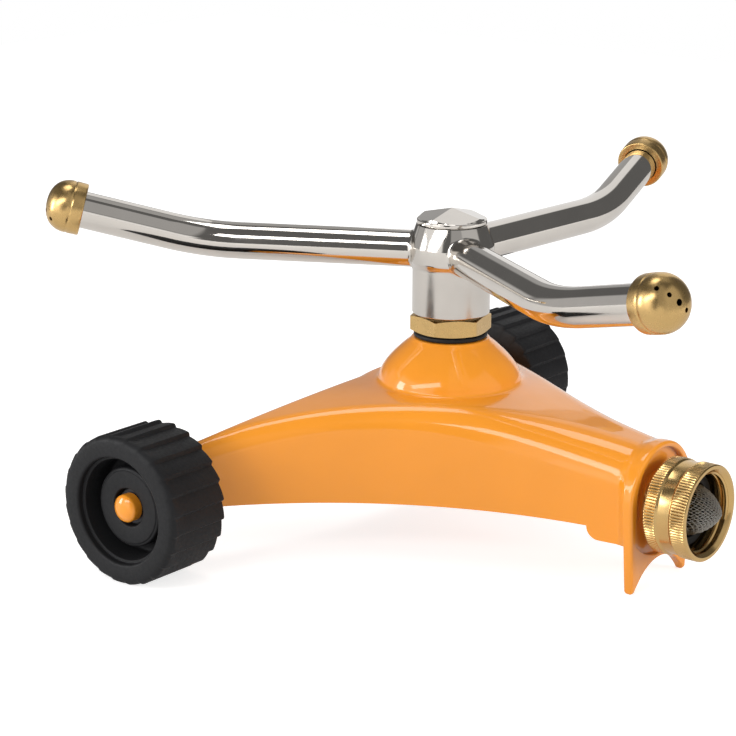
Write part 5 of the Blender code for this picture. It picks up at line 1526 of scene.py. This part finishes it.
def drill_holes(cap, settings, material):
    """Row of spray holes through the dome; the middle one is larger."""
    sizes = {"Holes": settings.holes, "Step": settings.hole_step, "Row turn": HOLE_ROW_TURN,
             "Hole radius": settings.hole_radius,
             "Middle scale": settings.middle_hole / settings.hole_radius,
             "Centre height": NOZZLE_OVERLAP + GAP - DRILL_SET_BACK, "Drill length": DRILL_LENGTH,
             "Material": material}
    rig, given, identifiers = shape_tree("spray_holes", sizes)
    middle = (given["Holes"] - 1.0) / 2.0
    points = rig.out('GeometryNodePoints', {0: given["Holes"],
                                            'Position': rig.vector(z=given["Centre height"])})
    index = rig.out('GeometryNodeInputIndex')
    lean = (index - middle) * given["Step"]
    rotation = rig.out('FunctionNodeEulerToRotation', {0: rig.vector(y=lean, z=given["Row turn"])})
    drill = rig.out('GeometryNodeMeshCylinder', {'Vertices': 24, 'Radius': given["Hole radius"],
                                                 'Depth': given["Drill length"]})
    half = rig.vector(z=given["Drill length"] / 2.0)
    drill = rig.out('GeometryNodeTransform', {'Geometry': drill, 'Translation': half})
    is_middle = rig.maths('COMPARE', index, middle, 0.1)
    wide = 1.0 + is_middle * (given["Middle scale"] - 1.0)
    drills = rig.out('GeometryNodeInstanceOnPoints', {'Points': points, 'Instance': drill,
                                                      'Rotation': rotation,
                                                      'Scale': rig.vector(wide, wide, 1.0)})
    solid = rig.out('GeometryNodeRealizeInstances', {0: drills})
    cut = rig.out('GeometryNodeMeshBoolean', {0: given["Geometry"], 1: solid}, operation='DIFFERENCE',
                  solver='EXACT')
    finish_tree(rig, cut, given["Material"])
    run_tree(cap, rig, identifiers, sizes)


class SPRINKLER_OT_nozzle_caps(bpy.types.Operator):
    """Build the three brass nozzle caps with their spray holes"""
    bl_idname = "sprinkler.nozzle_caps"
    bl_label = "Nozzle Caps"

    def execute(self, context):
        settings = context.scene.sprinkler_nozzles
        head = context.scene.sprinkler_head
        path = ArmPath(head.bend_radius)
        for letter in ARM_TURNS:
            profile = nozzle_profile(settings, head.tube_radius)
            cap = new_object("nozzle_cap_%s_skin" % letter, turned(profile, 72))
            drill_holes(cap, settings, FINISHES["brass"])
            place = arm_frame(letter) @ frame_along(path.end, path.tip)
            dress(cap, "rotor", "brass", "nozzle_cap_" + letter, place=place)
        return {'FINISHED'}


class SPRINKLER_OT_inner_parts(bpy.types.Operator):
    """Give the pins, rings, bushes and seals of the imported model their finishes"""
    bl_idname = "sprinkler.inner_parts"
    bl_label = "Inner Parts"

    def execute(self, context):
        slots = {entry["node"]: entry["material_slot"] for entry in frame["record"]["subparts"]}
        for name, node in frame["nodes"].items():
            if node.hide_render:
                continue
            node.data.materials.clear()
            node.data.materials.append(FINISHES[slots[name]])
        return {'FINISHED'}


# Stage

def seen_from_camera(turn, elevation, distance):
    """Point at an angle from the camera's own direction, to the right for a positive turn."""
    direction = CAMERA_AZIMUTH + turn
    flat = cos(elevation)
    return Vector((sin(direction) * flat, -cos(direction) * flat, sin(elevation))) * distance


def softbox(name, turn, elevation, distance, width, height, brightness, tilt):
    """Rectangular lamp aimed at the sprinkler."""
    light = bpy.data.lights.new(name, 'AREA')
    light.shape = 'RECTANGLE'
    light.size = width
    light.size_y = height
    light.energy = brightness * width * height * pi
    lamp = bpy.data.objects.new(name, light)
    lamp.visible_camera = False
    target = Vector((0, 0, 50 * MM))
    place = target + seen_from_camera(radians(turn), radians(elevation), distance)
    lamp.location = place
    facing = (target - place).to_track_quat('-Z', 'Y')
    roll = Matrix.Rotation(radians(tilt), 3, 'Z').to_quaternion()
    lamp.rotation_euler = (facing @ roll).to_euler()
    bpy.context.scene.collection.objects.link(lamp)
    return lamp


def make_floor():
    """Wide pale floor that keeps the shadow and shows white to the camera."""
    shape = bmesh.new()
    bmesh.ops.create_grid(shape, x_segments=1, y_segments=1, size=FLOOR_REACH)
    floor = new_object("floor", shape, clean=False)
    material = bpy.data.materials.new("floor_finish")
    material.use_nodes = True
    rig = NodeRig(material.node_tree)
    shader = material.node_tree.nodes["Principled BSDF"]
    tone = spread(rig, noise(rig, 8.0, 2.0), 0.0, 1.0)
    rig.feed(shader.inputs['Base Color'],
             blend_colours(rig, tone, (0.66, 0.65, 0.64), (0.69, 0.68, 0.67)))
    shader.inputs['Roughness'].default_value = 0.9
    shader.inputs['Specular IOR Level'].default_value = 0.1
    path = rig.add('ShaderNodeLightPath')
    seen = rig.maths('MAXIMUM', path.outputs['Is Camera Ray'],
                     rig.maths('MULTIPLY', path.outputs['Is Glossy Ray'], FLOOR_GLOW_MIRRORED))
    shader.inputs['Emission Color'].default_value = (1.0, 1.0, 1.0, 1.0)
    rig.feed(shader.inputs['Emission Strength'], seen * FLOOR_GLOW)
    floor.data.materials.append(material)


def card_mask(rig, turn, rise, sides, ends):
    """One inside a stretch of turns and elevations in degrees, fading out at its edges."""
    def from_edge(angle, edge, low, high):
        return spread(rig, angle, low, high, radians(edge) - CARD_FADE, radians(edge) + CARD_FADE)

    return (from_edge(turn, sides[0], 0.0, 1.0) * from_edge(turn, sides[1], 1.0, 0.0)
            * from_edge(rise, ends[0], 0.0, 1.0) * from_edge(rise, ends[1], 1.0, 0.0))


def make_room(settings):
    """White to the camera; metal shows the white cards in a dim room."""
    world = bpy.data.worlds.new("studio")
    bpy.context.scene.world = world
    world.use_nodes = True
    rig = NodeRig(world.node_tree)
    background = world.node_tree.nodes["Background"]
    direction = rig.add('ShaderNodeTexCoord').outputs['Generated']
    rise = rig.maths('ARCSINE', rig.add('ShaderNodeSeparateXYZ', {0: direction}).outputs['Z'])
    sideways = rig.add('ShaderNodeVectorMath', {0: direction, 1: seen_from_camera(pi / 2, 0.0, 1.0)},
                       operation='DOT_PRODUCT').outputs['Value']
    towards = rig.add('ShaderNodeVectorMath', {0: direction, 1: seen_from_camera(0.0, 0.0, 1.0)},
                      operation='DOT_PRODUCT').outputs['Value']
    turn = rig.maths('ARCTAN2', sideways, towards)
    reflected = DIM_ROOM
    for sides, ends, brightness in ROOM_CARDS:
        shown = card_mask(rig, turn, rise, sides, ends)
        reflected = rig.maths('MAXIMUM', reflected, shown * brightness)
    path = rig.add('ShaderNodeLightPath')
    shiny = rig.maths('MAXIMUM', path.outputs['Is Glossy Ray'], path.outputs['Is Transmission Ray'])
    strength = rig.out('ShaderNodeMix', {0: shiny, 2: settings.room_level, 3: reflected},
                       data_type='FLOAT')
    strength = rig.out('ShaderNodeMix', {0: path.outputs['Is Camera Ray'], 2: strength, 3: 1.0},
                       data_type='FLOAT')
    background.inputs['Color'].default_value = (1.0, 1.0, 1.0, 1.0)
    rig.feed(background.inputs['Strength'], strength)


def make_camera():
    back = seen_from_camera(0.0, CAMERA_ELEVATION, 1.0)
    right = Vector((cos(CAMERA_AZIMUTH), sin(CAMERA_AZIMUTH), 0.0))
    up = back.cross(right)
    turned_right = right * cos(CAMERA_ROLL) + up * sin(CAMERA_ROLL)
    turned_up = up * cos(CAMERA_ROLL) - right * sin(CAMERA_ROLL)
    data = bpy.data.cameras.new("photo_view")
    data.lens = CAMERA_LENS
    data.sensor_width = SENSOR_WIDTH
    camera = bpy.data.objects.new("photo_view", data)
    bpy.context.scene.collection.objects.link(camera)
    turn = Matrix((turned_right, turned_up, back)).transposed().to_4x4()
    camera.matrix_world = Matrix.Translation(CAMERA_PLACE + ORIGIN) @ turn
    bpy.context.scene.camera = camera


class SPRINKLER_OT_stage(bpy.types.Operator):
    """Set up the floor, the room, the softboxes and the camera"""
    bl_idname = "sprinkler.stage"
    bl_label = "Stage"

    def execute(self, context):
        settings = context.scene.sprinkler_stage
        context.scene.view_settings.view_transform = 'Standard'
        make_floor()
        make_room(settings)
        for name, brightness, mirrored, place, size, tilt in LAMPS:
            lamp = softbox(name, *place, *size, getattr(settings, brightness), tilt)
            lamp.visible_glossy = mirrored
        make_camera()
        return {'FINISHED'}


class SPRINKLER_PT_panel(bpy.types.Panel):
    """Lists the steps that build the sprinkler"""
    bl_idname = "SPRINKLER_PT_panel"
    bl_label = "Rotary Sprinkler"
    bl_space_type = 'VIEW_3D'
    bl_region_type = 'UI'
    bl_category = "Sprinkler"

    def draw(self, context):
        for operator in PIECES:
            self.layout.operator(operator.bl_idname)
        for name in SETTINGS:
            box = self.layout.box()
            group = getattr(context.scene, name)
            for key in group.bl_rna.properties.keys():
                if key not in {"rna_type", "name"}:
                    box.prop(group, key)


PIECES = (
    SPRINKLER_OT_base_casting, SPRINKLER_OT_wheels, SPRINKLER_OT_axle_caps, SPRINKLER_OT_hose_coupling,
    SPRINKLER_OT_inlet_parts, SPRINKLER_OT_filter_screen, SPRINKLER_OT_spindle, SPRINKLER_OT_hub,
    SPRINKLER_OT_hub_cap, SPRINKLER_OT_arms, SPRINKLER_OT_nozzle_caps, SPRINKLER_OT_inner_parts,
    SPRINKLER_OT_stage,
)

SETTINGS = {
    "sprinkler_casting": CastingSettings,
    "sprinkler_wheels": WheelSettings,
    "sprinkler_inlet": InletSettings,
    "sprinkler_head": HeadSettings,
    "sprinkler_nozzles": NozzleSettings,
    "sprinkler_finishes": FinishSettings,
    "sprinkler_stage": StageSettings,
}


def register():
    for name, group in SETTINGS.items():
        bpy.utils.register_class(group)
        setattr(bpy.types.Scene, name, PointerProperty(type=group))
    for operator in PIECES:
        bpy.utils.register_class(operator)
    bpy.utils.register_class(SPRINKLER_PT_panel)


def unregister():
    bpy.utils.unregister_class(SPRINKLER_PT_panel)
    for operator in reversed(PIECES):
        bpy.utils.unregister_class(operator)
    for name, group in SETTINGS.items():
        delattr(bpy.types.Scene, name)
        bpy.utils.unregister_class(group)


def main():
    register()
    make_finishes(bpy.context.scene.sprinkler_finishes)
    for operator in PIECES:
        group, name = operator.bl_idname.split(".")
        getattr(getattr(bpy.ops, group), name)()


if __name__ == "__main__":
    main()
